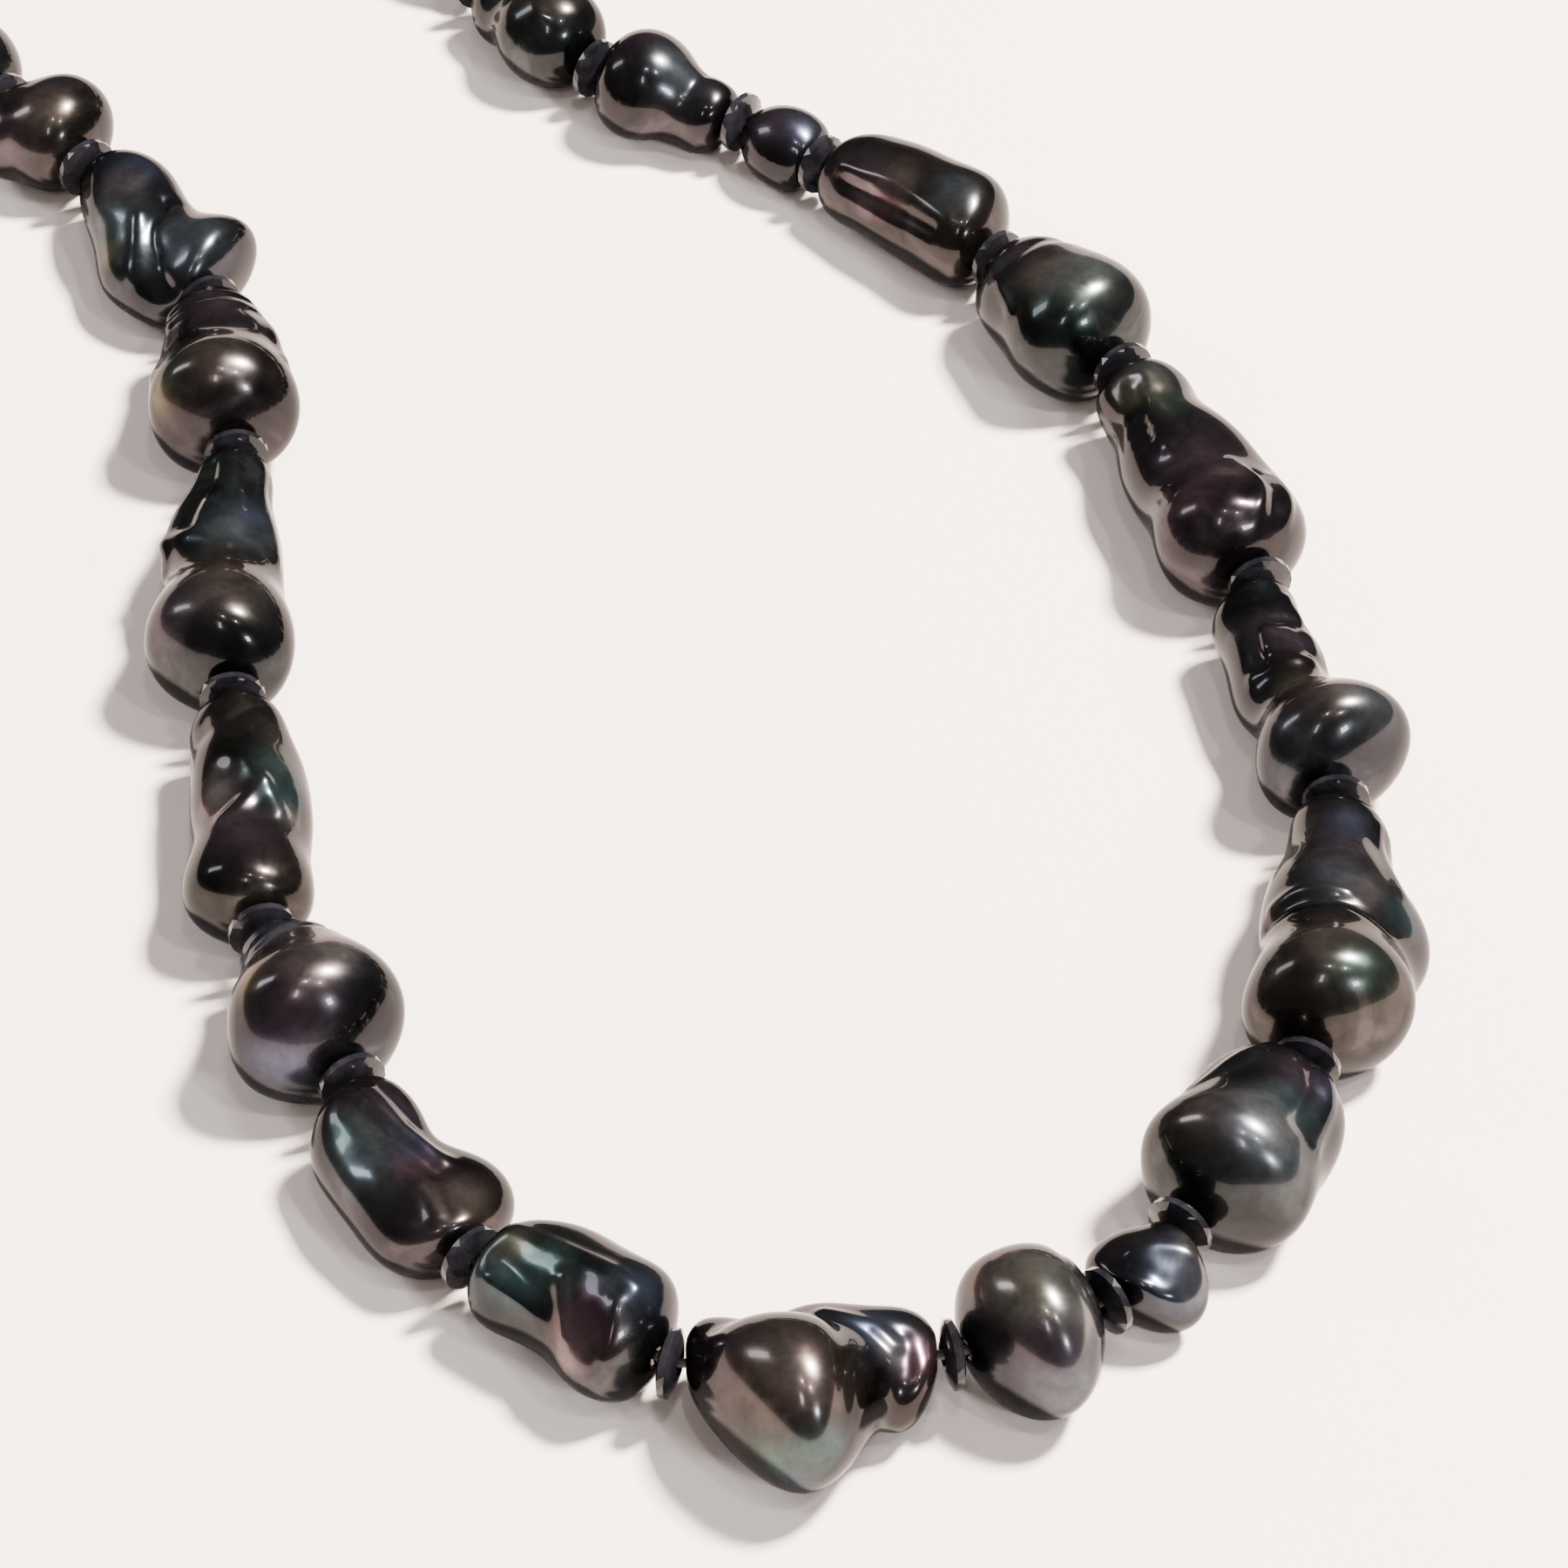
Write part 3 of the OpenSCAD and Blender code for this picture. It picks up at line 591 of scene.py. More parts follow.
# %% [markdown]
# ## Overtones
# Black pearls are not black. Thin layers of nacre throw back green, blue, purple and bronze in
# patches that follow the swellings. The patches are painted as a colour attribute on the skin: each
# spot has a tone, a place along the pearl, an angle round it and a size, and it fades out as
# exp(-(distance / size)^2). The attribute's alpha says how strongly the tone shows.

# %% Painted tones
TONES = {
    "peacock": (0.035, 0.060, 0.050), "teal": (0.035, 0.060, 0.070), "blue": (0.040, 0.050, 0.080),
    "aubergine": (0.045, 0.030, 0.040), "plum": (0.070, 0.035, 0.045), "bronze": (0.090, 0.070, 0.060),
    "silver": (0.160, 0.155, 0.150), "rose": (0.120, 0.090, 0.090), "gold": (0.100, 0.085, 0.050),
    "steel": (0.065, 0.075, 0.085),
}
# Pearl number: [(tone, place 0 to 1, angle in degrees, size in mm), ...]
SPOTS = {
    1: [("steel", 0.40, 80, 2.6), ("aubergine", 0.70, 110, 2.0)],
    2: [("bronze", 0.60, 90, 2.4), ("blue", 0.30, 70, 1.8)],
    3: [("blue", 0.50, 110, 2.2), ("aubergine", 0.60, 70, 2.0)],
    4: [("aubergine", 0.50, 160, 2.5), ("bronze", 0.60, 100, 2.0), ("blue", 0.30, 60, 2.0)],
    5: [("rose", 0.35, 95, 1.6), ("steel", 0.45, 130, 2.5), ("gold", 0.55, 170, 1.3),
        ("peacock", 0.50, 158, 1.8), ("steel", 0.80, 80, 3.0), ("blue", 0.30, 60, 2.0)],
    6: [("aubergine", 0.30, 90, 2.5), ("bronze", 0.70, 95, 3.0), ("gold", 0.75, 150, 1.6),
        ("peacock", 0.68, 135, 1.6), ("silver", 0.80, 80, 1.2)],
    7: [("steel", 0.45, 95, 2.0), ("bronze", 0.70, 90, 3.5), ("aubergine", 0.80, 140, 3.0),
        ("blue", 0.35, 60, 2.0)],
    8: [("rose", 0.55, 140, 1.8), ("teal", 0.52, 40, 2.2), ("peacock", 0.45, 50, 2.0),
        ("aubergine", 0.72, 100, 3.0), ("silver", 0.62, 35, 1.0), ("silver", 0.50, 125, 1.0)],
    9: [("blue", 0.20, 90, 1.8), ("silver", 0.26, 95, 1.2), ("bronze", 0.45, 80, 3.0),
        ("gold", 0.50, 130, 1.6), ("rose", 0.66, 95, 1.8), ("silver", 0.60, 75, 1.5),
        ("aubergine", 0.80, 120, 3.0), ("blue", 0.85, 160, 2.0)],
    10: [("peacock", 0.35, 140, 2.0), ("steel", 0.50, 150, 2.5), ("plum", 0.60, 100, 1.5),
         ("blue", 0.50, 80, 1.6), ("aubergine", 0.30, 80, 2.5), ("bronze", 0.80, 60, 2.0)],
    11: [("teal", 0.28, 120, 2.0), ("gold", 0.22, 90, 1.2), ("plum", 0.68, 135, 2.4),
         ("peacock", 0.40, 90, 2.0), ("blue", 0.80, 70, 2.0), ("rose", 0.66, 165, 1.2)],
    12: [("bronze", 0.38, 128, 3.4), ("rose", 0.45, 138, 2.2), ("peacock", 0.36, 178, 2.4),
         ("peacock", 0.50, 170, 2.2), ("blue", 0.43, 182, 1.2), ("teal", 0.55, 165, 1.6),
         ("aubergine", 0.20, 110, 2.5), ("blue", 0.72, 90, 2.5), ("plum", 0.88, 130, 1.6),
         ("silver", 0.78, 120, 1.0)],
    13: [("silver", 0.55, 95, 2.8), ("gold", 0.45, 105, 2.0), ("peacock", 0.60, 110, 2.0),
         ("aubergine", 0.40, 140, 2.6), ("silver", 0.65, 125, 1.8), ("steel", 0.50, 175, 3.0),
         ("bronze", 0.30, 80, 3.0)],
    14: [("steel", 0.60, 170, 3.0), ("blue", 0.50, 150, 2.0), ("rose", 0.75, 165, 1.6),
         ("gold", 0.78, 150, 1.0)],
    15: [("silver", 0.40, 110, 2.2), ("steel", 0.30, 130, 2.5), ("blue", 0.35, 100, 2.0),
         ("bronze", 0.30, 80, 2.4), ("aubergine", 0.75, 110, 2.5), ("teal", 0.55, 120, 1.8),
         ("blue", 0.80, 150, 2.0)],
    16: [("bronze", 0.28, 95, 2.5), ("peacock", 0.20, 120, 2.4), ("steel", 0.55, 100, 2.5),
         ("aubergine", 0.70, 95, 2.6), ("blue", 0.80, 110, 1.8), ("teal", 0.52, 165, 2.0),
         ("rose", 0.52, 125, 1.4)],
    17: [("bronze", 0.30, 90, 3.0), ("silver", 0.25, 110, 1.4), ("steel", 0.20, 125, 2.0),
         ("aubergine", 0.65, 80, 2.4), ("gold", 0.40, 80, 1.6)],
    18: [("aubergine", 0.40, 90, 3.0), ("gold", 0.80, 80, 1.8), ("peacock", 0.70, 100, 2.0),
         ("steel", 0.85, 100, 1.8), ("rose", 0.30, 100, 1.5), ("plum", 0.25, 60, 2.0)],
    19: [("silver", 0.35, 95, 2.4), ("peacock", 0.30, 80, 2.4), ("teal", 0.40, 120, 2.2),
         ("bronze", 0.50, 70, 2.0), ("aubergine", 0.80, 80, 2.4)],
    20: [("plum", 0.55, 40, 1.4), ("rose", 0.62, 35, 1.2), ("bronze", 0.50, 75, 2.0),
         ("steel", 0.25, 95, 2.0), ("aubergine", 0.70, 60, 2.4)],
    21: [("aubergine", 0.50, 80, 2.2), ("blue", 0.30, 100, 1.5)],
    22: [("steel", 0.40, 80, 2.5), ("aubergine", 0.70, 100, 2.0)],
    23: [("bronze", 0.40, 90, 2.2), ("peacock", 0.60, 60, 1.8)],
    24: [("blue", 0.50, 80, 2.0), ("plum", 0.60, 120, 1.6)],
}
LEAST_WEIGHT = 1e-6


def paint_pearl(piece, n):
    """Writes the overtone attribute: the weighted mean of the tones, and their strength as alpha."""
    length = hole_length(n)
    place = np.array([vertex.co for vertex in piece.data.vertices]) / MM
    own = (place - stations[n]) @ hole_axes(n).T
    colour = np.zeros((len(own), 3))
    weight = np.full(len(own), LEAST_WEIGHT)
    for tone, along, angle, size in SPOTS.get(n + 1, []):
        radius = float(smooth_radius(n, np.array([along * length]), np.array([math.radians(angle)]))[0])
        turn = math.radians(angle)
        spot = np.array([along * length, radius * math.cos(turn), radius * math.sin(turn)])
        near = np.exp(-(np.linalg.norm(own - spot, axis=1) / size) ** 2)
        colour = colour + near[:, None] * np.array(TONES[tone])
        weight = weight + near
    strength = np.clip(weight, 0, 1)
    rgba = np.concatenate([colour / weight[:, None], strength[:, None]], axis=1)
    attribute = piece.data.attributes.new("overtone", "FLOAT_COLOR", "POINT")
    attribute.data.foreach_set("color", rgba.astype(np.float32).ravel())


for n, piece in enumerate(pearl_pieces):
    paint_pearl(piece, n)
print("painted spots", sum(len(spots) for spots in SPOTS.values()))

# %% [markdown]
# ## Nacre
# Nacre reflects like a dark metal from its layers, and like clear varnish from its polished skin.
# So the Principled shader gets a high Metallic value with a soft roughness for the layers, and a
# thin coat with a very small roughness for the skin. The group below makes the clouded body colour
# once, and each of the four body tones uses it with its own colours.

# %% Group: clouds of nacre
def nacre_clouds():
    """Three noises in Object coordinates: broad clouds choose between three colours, a second noise
    breaks the painted overtone into patches, and a fine mottle lightens and darkens the colours. The painted
    overtone lies over the clouds."""
    tree, given, result = new_group("nacre_clouds", [
        ("Deep", "NodeSocketColor", grey(0.05)),
        ("Mid", "NodeSocketColor", grey(0.12)),
        ("Bright", "NodeSocketColor", grey(0.30)),
        ("Cloud Scale", "NodeSocketFloat", 170.0),
        ("Overtone", "NodeSocketFloat", 0.85),
    ], [("Color", "NodeSocketColor"), ("Roughness", "NodeSocketFloat"), ("Height", "NodeSocketFloat")])
    place = object_place(tree)
    clouds = node(tree, "ShaderNodeTexNoise", {
        "Vector": place, "Scale": given.outputs["Cloud Scale"], "Detail": 4.0, "Roughness": 0.55,
        "Distortion": 0.9})
    low = node(tree, "ShaderNodeMapRange", {
        "Value": clouds.outputs["Fac"], "From Min": 0.34, "From Max": 0.52},
        interpolation_type="SMOOTHSTEP")
    high = node(tree, "ShaderNodeMapRange", {
        "Value": clouds.outputs["Fac"], "From Min": 0.50, "From Max": 0.70},
        interpolation_type="SMOOTHSTEP")
    first = node(tree, "ShaderNodeMix", {
        "Factor": low.outputs["Result"], "A": given.outputs["Deep"], "B": given.outputs["Mid"]},
        data_type="RGBA")
    second = node(tree, "ShaderNodeMix", {
        "Factor": high.outputs["Result"], "A": first.outputs["Result"], "B": given.outputs["Bright"]},
        data_type="RGBA")
    painted = node(tree, "ShaderNodeAttribute", attribute_name="overtone")
    break_up = node(tree, "ShaderNodeTexNoise", {
        "Vector": place, "Scale": 420.0, "Detail": 3.0, "Distortion": 0.6})
    patchy = node(tree, "ShaderNodeMapRange", {
        "Value": break_up.outputs["Fac"], "From Min": 0.32, "From Max": 0.62,
        "To Min": 0.55, "To Max": 1.0})
    strength = node(tree, "ShaderNodeMath", {
        0: painted.outputs["Alpha"], 1: given.outputs["Overtone"]}, operation="MULTIPLY")
    share = node(tree, "ShaderNodeMath", {
        0: strength.outputs[0], 1: patchy.outputs["Result"]}, operation="MULTIPLY")
    toned = node(tree, "ShaderNodeMix", {
        "Factor": share.outputs[0], "A": second.outputs["Result"], "B": painted.outputs["Color"]},
        data_type="RGBA")
    mottle = node(tree, "ShaderNodeTexNoise", {"Vector": place, "Scale": 1900.0, "Detail": 3.0})
    shade = node(tree, "ShaderNodeMapRange", {
        "Value": mottle.outputs["Fac"], "From Min": 0.3, "From Max": 0.7, "To Min": 0.86, "To Max": 1.12})
    final = node(tree, "ShaderNodeVectorMath", {
        0: toned.outputs["Result"], "Scale": shade.outputs["Result"]}, operation="SCALE")
    rough = node(tree, "ShaderNodeMapRange", {
        "Value": clouds.outputs["Fac"], "From Min": 0.3, "From Max": 0.7, "To Min": 0.18, "To Max": 0.30})
    tree.links.new(final.outputs["Vector"], result.inputs["Color"])
    tree.links.new(rough.outputs["Result"], result.inputs["Roughness"])
    tree.links.new(mottle.outputs["Fac"], result.inputs["Height"])
    return tree


clouds_group = nacre_clouds()
print("cloud group ready")

# %% [markdown]
# ## Four body tones
# Dyed and natural black pearls on one strand lean to slate, aubergine, peacock or bronze. One function
# makes all four materials, so they share their gloss and differ only in colour. The tint darkens what
# the rim of a pearl reflects, which on a plain metal would be as bright as the board beside it.

# %% Materials: four body tones of nacre
NACRE_METALLIC = 0.88
COAT_WEIGHT = 0.22
COAT_ROUGHNESS = 0.035
COAT_IOR = 1.53
EDGE_TINT = (0.30, 0.28, 0.29, 1.0)
NACRE_COLOURS = {
    # slot: (deep, mid, bright)
    "nacre_slate": ((0.003, 0.003, 0.004), (0.008, 0.009, 0.011), (0.025, 0.028, 0.032)),
    "nacre_aubergine": ((0.003, 0.002, 0.003), (0.010, 0.008, 0.009), (0.030, 0.024, 0.027)),
    "nacre_peacock": ((0.002, 0.003, 0.003), (0.007, 0.009, 0.009), (0.024, 0.028, 0.027)),
    "nacre_bronze": ((0.003, 0.003, 0.002), (0.012, 0.010, 0.009), (0.036, 0.031, 0.028)),
}


def nacre_material(slot, deep, mid, bright):
    """Clouded nacre under a clear polished skin."""
    material, tree, shader = new_material(slot)
    clouds = node(tree, "ShaderNodeGroup", node_tree=clouds_group)
    for label, colour in (("Deep", deep), ("Mid", mid), ("Bright", bright)):
        clouds.inputs[label].default_value = (*colour, 1.0)
    bump = node(tree, "ShaderNodeBump", {
        "Height": clouds.outputs["Height"], "Strength": 0.05, "Distance": 0.00005})
    shader.inputs["Metallic"].default_value = NACRE_METALLIC
    shader.inputs["Coat Weight"].default_value = COAT_WEIGHT
    shader.inputs["Specular Tint"].default_value = EDGE_TINT
    shader.inputs["Coat Roughness"].default_value = COAT_ROUGHNESS
    shader.inputs["Coat IOR"].default_value = COAT_IOR
    tree.links.new(clouds.outputs["Color"], shader.inputs["Base Color"])
    tree.links.new(clouds.outputs["Roughness"], shader.inputs["Roughness"])
    tree.links.new(bump.outputs["Normal"], shader.inputs["Normal"])
    return material


nacre = {slot: nacre_material(slot, *colours) for slot, colours in NACRE_COLOURS.items()}
slot_of_node = {row["node"]: row["material_slot"] for row in frame["record"]["subparts"]}
for n, piece in enumerate(pearl_pieces):
    slot = slot_of_node[numbered("pearl", n + 1)]
    piece.data.materials.append(nacre[slot])
print("nacre materials", sorted(nacre))

# %% [markdown]
# ## Fine wear
# Cut stone and silver both carry hairline scratches and dull spots from being worn and wiped. One
# group makes both from stretched noise, and the two materials use it with their own amounts.

# %% Group: fine wear
def fine_wear():
    """Roughness = plain + dulling * smudges + scratching * hairlines; Height is the hairlines."""
    tree, given, result = new_group("fine_wear", [
        ("Plain", "NodeSocketFloat", 0.1), ("Dulling", "NodeSocketFloat", 0.1),
        ("Scratching", "NodeSocketFloat", 0.1),
    ], [("Roughness", "NodeSocketFloat"), ("Height", "NodeSocketFloat"), ("Smudge", "NodeSocketFloat")])
    place = object_place(tree)
    stretched = node(tree, "ShaderNodeMapping", {
        "Vector": place, "Scale": (300.0, 5200.0, 2600.0), "Rotation": (0.3, 0.5, 0.7)})
    hairs = node(tree, "ShaderNodeTexNoise", {"Vector": stretched.outputs["Vector"], "Scale": 1.0})
    thin = node(tree, "ShaderNodeMapRange", {
        "Value": hairs.outputs["Fac"], "From Min": 0.58, "From Max": 0.70})
    smudges = node(tree, "ShaderNodeTexNoise", {"Vector": place, "Scale": 650.0, "Detail": 4.0})
    broad = node(tree, "ShaderNodeMapRange", {
        "Value": smudges.outputs["Fac"], "From Min": 0.35, "From Max": 0.70})
    dull = node(tree, "ShaderNodeMath", {
        0: broad.outputs["Result"], 1: given.outputs["Dulling"], 2: given.outputs["Plain"]},
        operation="MULTIPLY_ADD")
    total = node(tree, "ShaderNodeMath", {
        0: thin.outputs["Result"], 1: given.outputs["Scratching"], 2: dull.outputs[0]},
        operation="MULTIPLY_ADD")
    tree.links.new(total.outputs[0], result.inputs["Roughness"])
    tree.links.new(thin.outputs["Result"], result.inputs["Height"])
    tree.links.new(broad.outputs["Result"], result.inputs["Smudge"])
    return tree


wear_group = fine_wear()
print("wear group ready")


def worn(tree, plain, dulling, scratching):
    """The fine wear group with its three amounts set."""
    made = node(tree, "ShaderNodeGroup", node_tree=wear_group)
    for label, value in (("Plain", plain), ("Dulling", dulling), ("Scratching", scratching)):
        made.inputs[label].default_value = value
    return made

# %% [markdown]
# ## Stone and metals
# The discs are cut black stone and the end fittings are polished silver with a steel leaf spring. A
# metal has no colour under its gloss, only the colour of its reflection, so tarnish is a darker base
# colour in the smudged places.

# %% Materials: black stone, silver, spring steel
STONE_CLEAR = (0.004, 0.004, 0.005, 1.0)
STONE_CLOUDY = (0.012, 0.011, 0.014, 1.0)


def stone_material():
    """Cut black stone: a near-black body, very glossy, with a faint cloudiness."""
    material, tree, shader = new_material("spacer_black")
    wear = worn(tree, plain=0.05, dulling=0.07, scratching=0.08)
    body = node(tree, "ShaderNodeMix", {
        "Factor": wear.outputs["Smudge"], "A": STONE_CLEAR, "B": STONE_CLOUDY}, data_type="RGBA")
    shader.inputs["IOR"].default_value = 1.45
    shader.inputs["Specular IOR Level"].default_value = 0.3
    tree.links.new(body.outputs["Result"], shader.inputs["Base Color"])
    tree.links.new(wear.outputs["Roughness"], shader.inputs["Roughness"])
    return material


def metal_material(name, clean, tarnished, plain):
    """A polished metal whose tarnish sits in the smudges and whose hairlines catch the light."""
    material, tree, shader = new_material(name)
    wear = worn(tree, plain=plain, dulling=0.12, scratching=0.10)
    colour = node(tree, "ShaderNodeMix", {
        "Factor": wear.outputs["Smudge"], "A": (*clean, 1.0), "B": (*tarnished, 1.0)}, data_type="RGBA")
    bump = node(tree, "ShaderNodeBump", {
        "Height": wear.outputs["Height"], "Strength": 0.12, "Distance": 0.00003})
    shader.inputs["Metallic"].default_value = 1.0
    tree.links.new(colour.outputs["Result"], shader.inputs["Base Color"])
    tree.links.new(wear.outputs["Roughness"], shader.inputs["Roughness"])
    tree.links.new(bump.outputs["Normal"], shader.inputs["Normal"])
    return material


stone = stone_material()
silver = metal_material("clasp_metal", (0.83, 0.82, 0.80), (0.62, 0.60, 0.57), 0.10)
steel = metal_material("spring_steel", (0.60, 0.57, 0.50), (0.42, 0.39, 0.34), 0.22)
print("stone and metals ready")

# %% [markdown]
# ## Spacer discs
# The discs are cut stone: flat by the hole, thinner towards the rim, with small facets all round.
# The rows of the cut are turned by half a facet against each other, so the facets are triangles
# and each one flashes on its own. Flat shading keeps them crisp.

# %% Spacers
SPACER_R = 2.5
SPACER_FLAT_R = 1.05
SPACER_HOLE_R = 0.75
SPACER_RIM_T = 0.5
SHOULDER_X = 0.50
SHOULDER_R = 1.85
FACETS = 20
# rows of the cut: (distance along the hole, radius, turned by half a facet)
CUT_ROWS = [
    (-SPACER_T / 2, SPACER_HOLE_R, False), (-SPACER_T / 2, SPACER_FLAT_R, False),
    (-SHOULDER_X, SHOULDER_R, True), (-SPACER_RIM_T / 2, SPACER_R, False),
    (SPACER_RIM_T / 2, SPACER_R, True), (SHOULDER_X, SHOULDER_R, False),
    (SPACER_T / 2, SPACER_FLAT_R, True), (SPACER_T / 2, SPACER_HOLE_R, True),
]


def station_axes(k):
    """Axes of the disc at station k: along the mean of the two holes beside it, left and up."""
    before, after = hole_axes(max(k - 1, 0))[0], hole_axes(min(k, PEARLS - 1))[0]
    along = (before + after) / np.linalg.norm(before + after)
    left = np.cross([0.0, 0.0, 1.0], along)
    left = left / np.linalg.norm(left)
    return np.array([along, left, np.cross(along, left)])


def disc_triangles(rows, sides):
    """Two triangles for every facet step between a row and the next, the last row joining the first."""
    i, j = np.meshgrid(np.arange(rows), np.arange(sides), indexing="ij")
    right, on = (j + 1) % sides, (i + 1) % rows
    turned = np.array([row[2] for row in CUT_ROWS])
    half = (turned[on] & ~turned[i]).ravel()
    here, there = (i * sides + j).ravel(), (on * sides + j).ravel()
    here_right, there_right = (i * sides + right).ravel(), (on * sides + right).ravel()
    split = np.where(half, there, there_right)
    first = np.stack([here, here_right, split], axis=-1)
    second = np.stack([there_right, there, np.where(half, here_right, here)], axis=-1)
    return np.concatenate([first, second])


def add_spacer(k):
    """One faceted disc, its stone axis along the strand."""
    turn = 2 * np.pi * np.arange(FACETS) / FACETS
    rows = []
    for x, radius, turned in CUT_ROWS:
        angle = turn + (np.pi / FACETS if turned else 0)
        y, z = radius * np.cos(angle), radius * np.sin(angle)
        rows.append(np.stack([np.full(FACETS, x), y, z], axis=-1))
    points = stations[k] + np.concatenate(rows) @ station_axes(k)
    name = numbered("spacer", k + 1)
    triangles = disc_triangles(len(CUT_ROWS), FACETS)
    piece = make_piece(numbered("cut_disc", k + 1), points, triangles, name, smooth=False)
    piece.data.materials.append(stone)
    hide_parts(name)


for k in range(len(stations)):
    add_spacer(k)
print("discs", len(stations), "facets", FACETS)

# %% [markdown]
# ## The silk thread
# The strand must bend at every disc, so the thread is made in one stretch for each pearl. Each
# stretch rides with its pearl and ends in a round tip at the middle of the disc, so two stretches
# share a ball there and stay joined at any bend. Three plies are laid up with a twist.

# %% Thread
THREAD_R = 0.35
PLIES = 3
PLY_DEPTH = 0.16
TWIST_PER_MM = 1.9
THREAD_SIDES = 18
TIP_RINGS = 5
TIP_SHARE = 0.02


def thread_stretch(length, rings_per_mm=3):
    """Radius at an angle = THREAD_R * (1 - PLY_DEPTH * (1 - |cos(PLIES/2 * (angle - twist * x))|)),
    with tips rounded as half a ball."""
    tip = np.linspace(0, np.pi / 2, TIP_RINGS)
    body = np.linspace(0, length, int(length * rings_per_mm))[1:-1]
    x = np.concatenate([-THREAD_R * np.cos(tip), body, length + THREAD_R * np.sin(tip)])
    share = np.concatenate([np.sin(tip), np.ones(len(body)), np.cos(tip)])
    share = np.maximum(share, TIP_SHARE)
    angle = np.linspace(0, 2 * np.pi, THREAD_SIDES, endpoint=False)
    x, angle = np.meshgrid(x, angle, indexing="ij")
    ply = np.abs(np.cos(PLIES / 2 * (angle - TWIST_PER_MM * x)))
    radius = THREAD_R * share[:, None] * (1 - PLY_DEPTH * (1 - ply))
    return np.stack([x, radius * np.cos(angle), radius * np.sin(angle)], axis=-1)


SILK_DEEP = (0.006, 0.006, 0.008, 1.0)
SILK_FIBRE = (0.03, 0.03, 0.035, 1.0)


def silk_material():
    """Black silk: soft sheen, a rough body and a fine fibre in the height."""
    material, tree, shader = new_material("thread_black")
    place = object_place(tree)
    fibre = node(tree, "ShaderNodeTexNoise", {"Vector": place, "Scale": 9000.0, "Detail": 2.0})
    body = ramp(tree, fibre.outputs["Fac"], [(0.3, SILK_DEEP), (0.7, SILK_FIBRE)])
    bump = node(tree, "ShaderNodeBump", {
        "Height": fibre.outputs["Fac"], "Strength": 0.5, "Distance": 0.00004})
    shader.inputs["Roughness"].default_value = 0.55
    shader.inputs["Sheen Weight"].default_value = 0.3
    tree.links.new(body, shader.inputs["Base Color"])
    tree.links.new(bump.outputs["Normal"], shader.inputs["Normal"])
    return material


silk = silk_material()
print("silk ready")

# %% Silk stretches
def add_tube(name, points, body, material, stands_for):
    """A closed tube from rings of points, with a small flat cap on its first and its last ring."""
    rings, sides = points.shape[:2]
    caps = [list(range(sides))[::-1], list(range((rings - 1) * sides, rings * sides))]
    piece = make_piece(name, points, tube_quads(rings, sides, close_rings=False), body, caps=caps)
    piece.data.materials.append(material)
    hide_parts(stands_for)
    return piece


for n in range(PEARLS):
    points = to_table(n, thread_stretch(hole_length(n)))
    add_tube(numbered("silk", n + 1), points, numbered("pearl", n + 1), silk, "thread")
print("silk stretches", PEARLS)

# %% [markdown]
# ## The two ends
# Each end of the silk is knotted inside a small hollow silver cup. A jump ring joins the cup to
# the clasp, or to the tab. The joints of the frame give the place and the axes of both ends.

# %% Axes of the ends
joints = {joint["name"]: joint for joint in frame["joints"]}


def end_axes(swing, tilt, k):
    """Origin at station k, X from the jump ring's pivot to its middle, Z along its pivot."""
    near, middle = np.array(joints[swing]["pos_m"]) / MM, np.array(joints[tilt]["pos_m"]) / MM
    along = (middle - near) / np.linalg.norm(middle - near)
    up = np.array(joints[swing]["axis"])
    return {"origin": stations[k], "axes": np.array([along, np.cross(up, along), up]),
            "near": np.linalg.norm(near - stations[k]), "middle": np.linalg.norm(middle - stations[k])}


ring_end = end_axes("end_ring_swing", "end_tab_tilt", 0)
clasp_end = end_axes("clasp_ring_swing", "clasp_body_tilt", PEARLS)


def to_end(end, points):
    """Points in an end's own axes, turned into the strand's frame."""
    return end["origin"] + points @ end["axes"]


print("jump ring from", round(ring_end["near"], 2), "its middle at", round(ring_end["middle"], 2), "mm")

# %% [markdown]
# ## Round wire and hollow balls
# Wire is a circle carried along a path, and a hollow ball is a profile turned round an axis. Both give
# rings of points that the same quads join. A curve object with a bevel would also make wire, but its
# ends and its seam are harder to close.

# %% Surfaces carried along a path
HELPER_DIRECTION = np.array([0.31, 0.17, 0.94])


def tube_along(path, radius, sides, closed):
    """Rings of points square to a path. A ring's own left is square to the path and to
    HELPER_DIRECTION, which no path here follows, so the rings don't twist against each other."""
    before, after = np.roll(path, 1, axis=0), np.roll(path, -1, axis=0)
    if not closed:
        before[0], after[-1] = path[0], path[-1]
    ahead = after - before
    ahead = ahead / np.linalg.norm(ahead, axis=1)[:, None]
    left = np.cross(HELPER_DIRECTION, ahead)
    left = left / np.linalg.norm(left, axis=1)[:, None]
    up = np.cross(ahead, left)
    angle = np.linspace(0, 2 * np.pi, sides, endpoint=False)
    cos, sin = np.cos(angle)[None, :, None], np.sin(angle)[None, :, None]
    return path[:, None, :] + radius * (cos * left[:, None, :] + sin * up[:, None, :])


def revolve(profile, sides):
    """A profile of (x, radius) points turned round the X axis."""
    angle = np.linspace(0, 2 * np.pi, sides, endpoint=False)
    x, radius = np.array(profile).T
    y, z = radius[:, None] * np.cos(angle), radius[:, None] * np.sin(angle)
    return np.stack([np.repeat(x[:, None], sides, axis=1), y, z], axis=-1)


print("path and profile surfaces ready")

# %% [markdown]
# ## Knot cups and jump rings
# The cup is two half balls of sheet silver that close on the knot, so a fine seam runs round its
# middle. A loop of wire is soldered to it, and a jump ring hangs crosswise in the loop. The knot
# inside is the closed form of an overhand knot: it is what holds the whole strand.

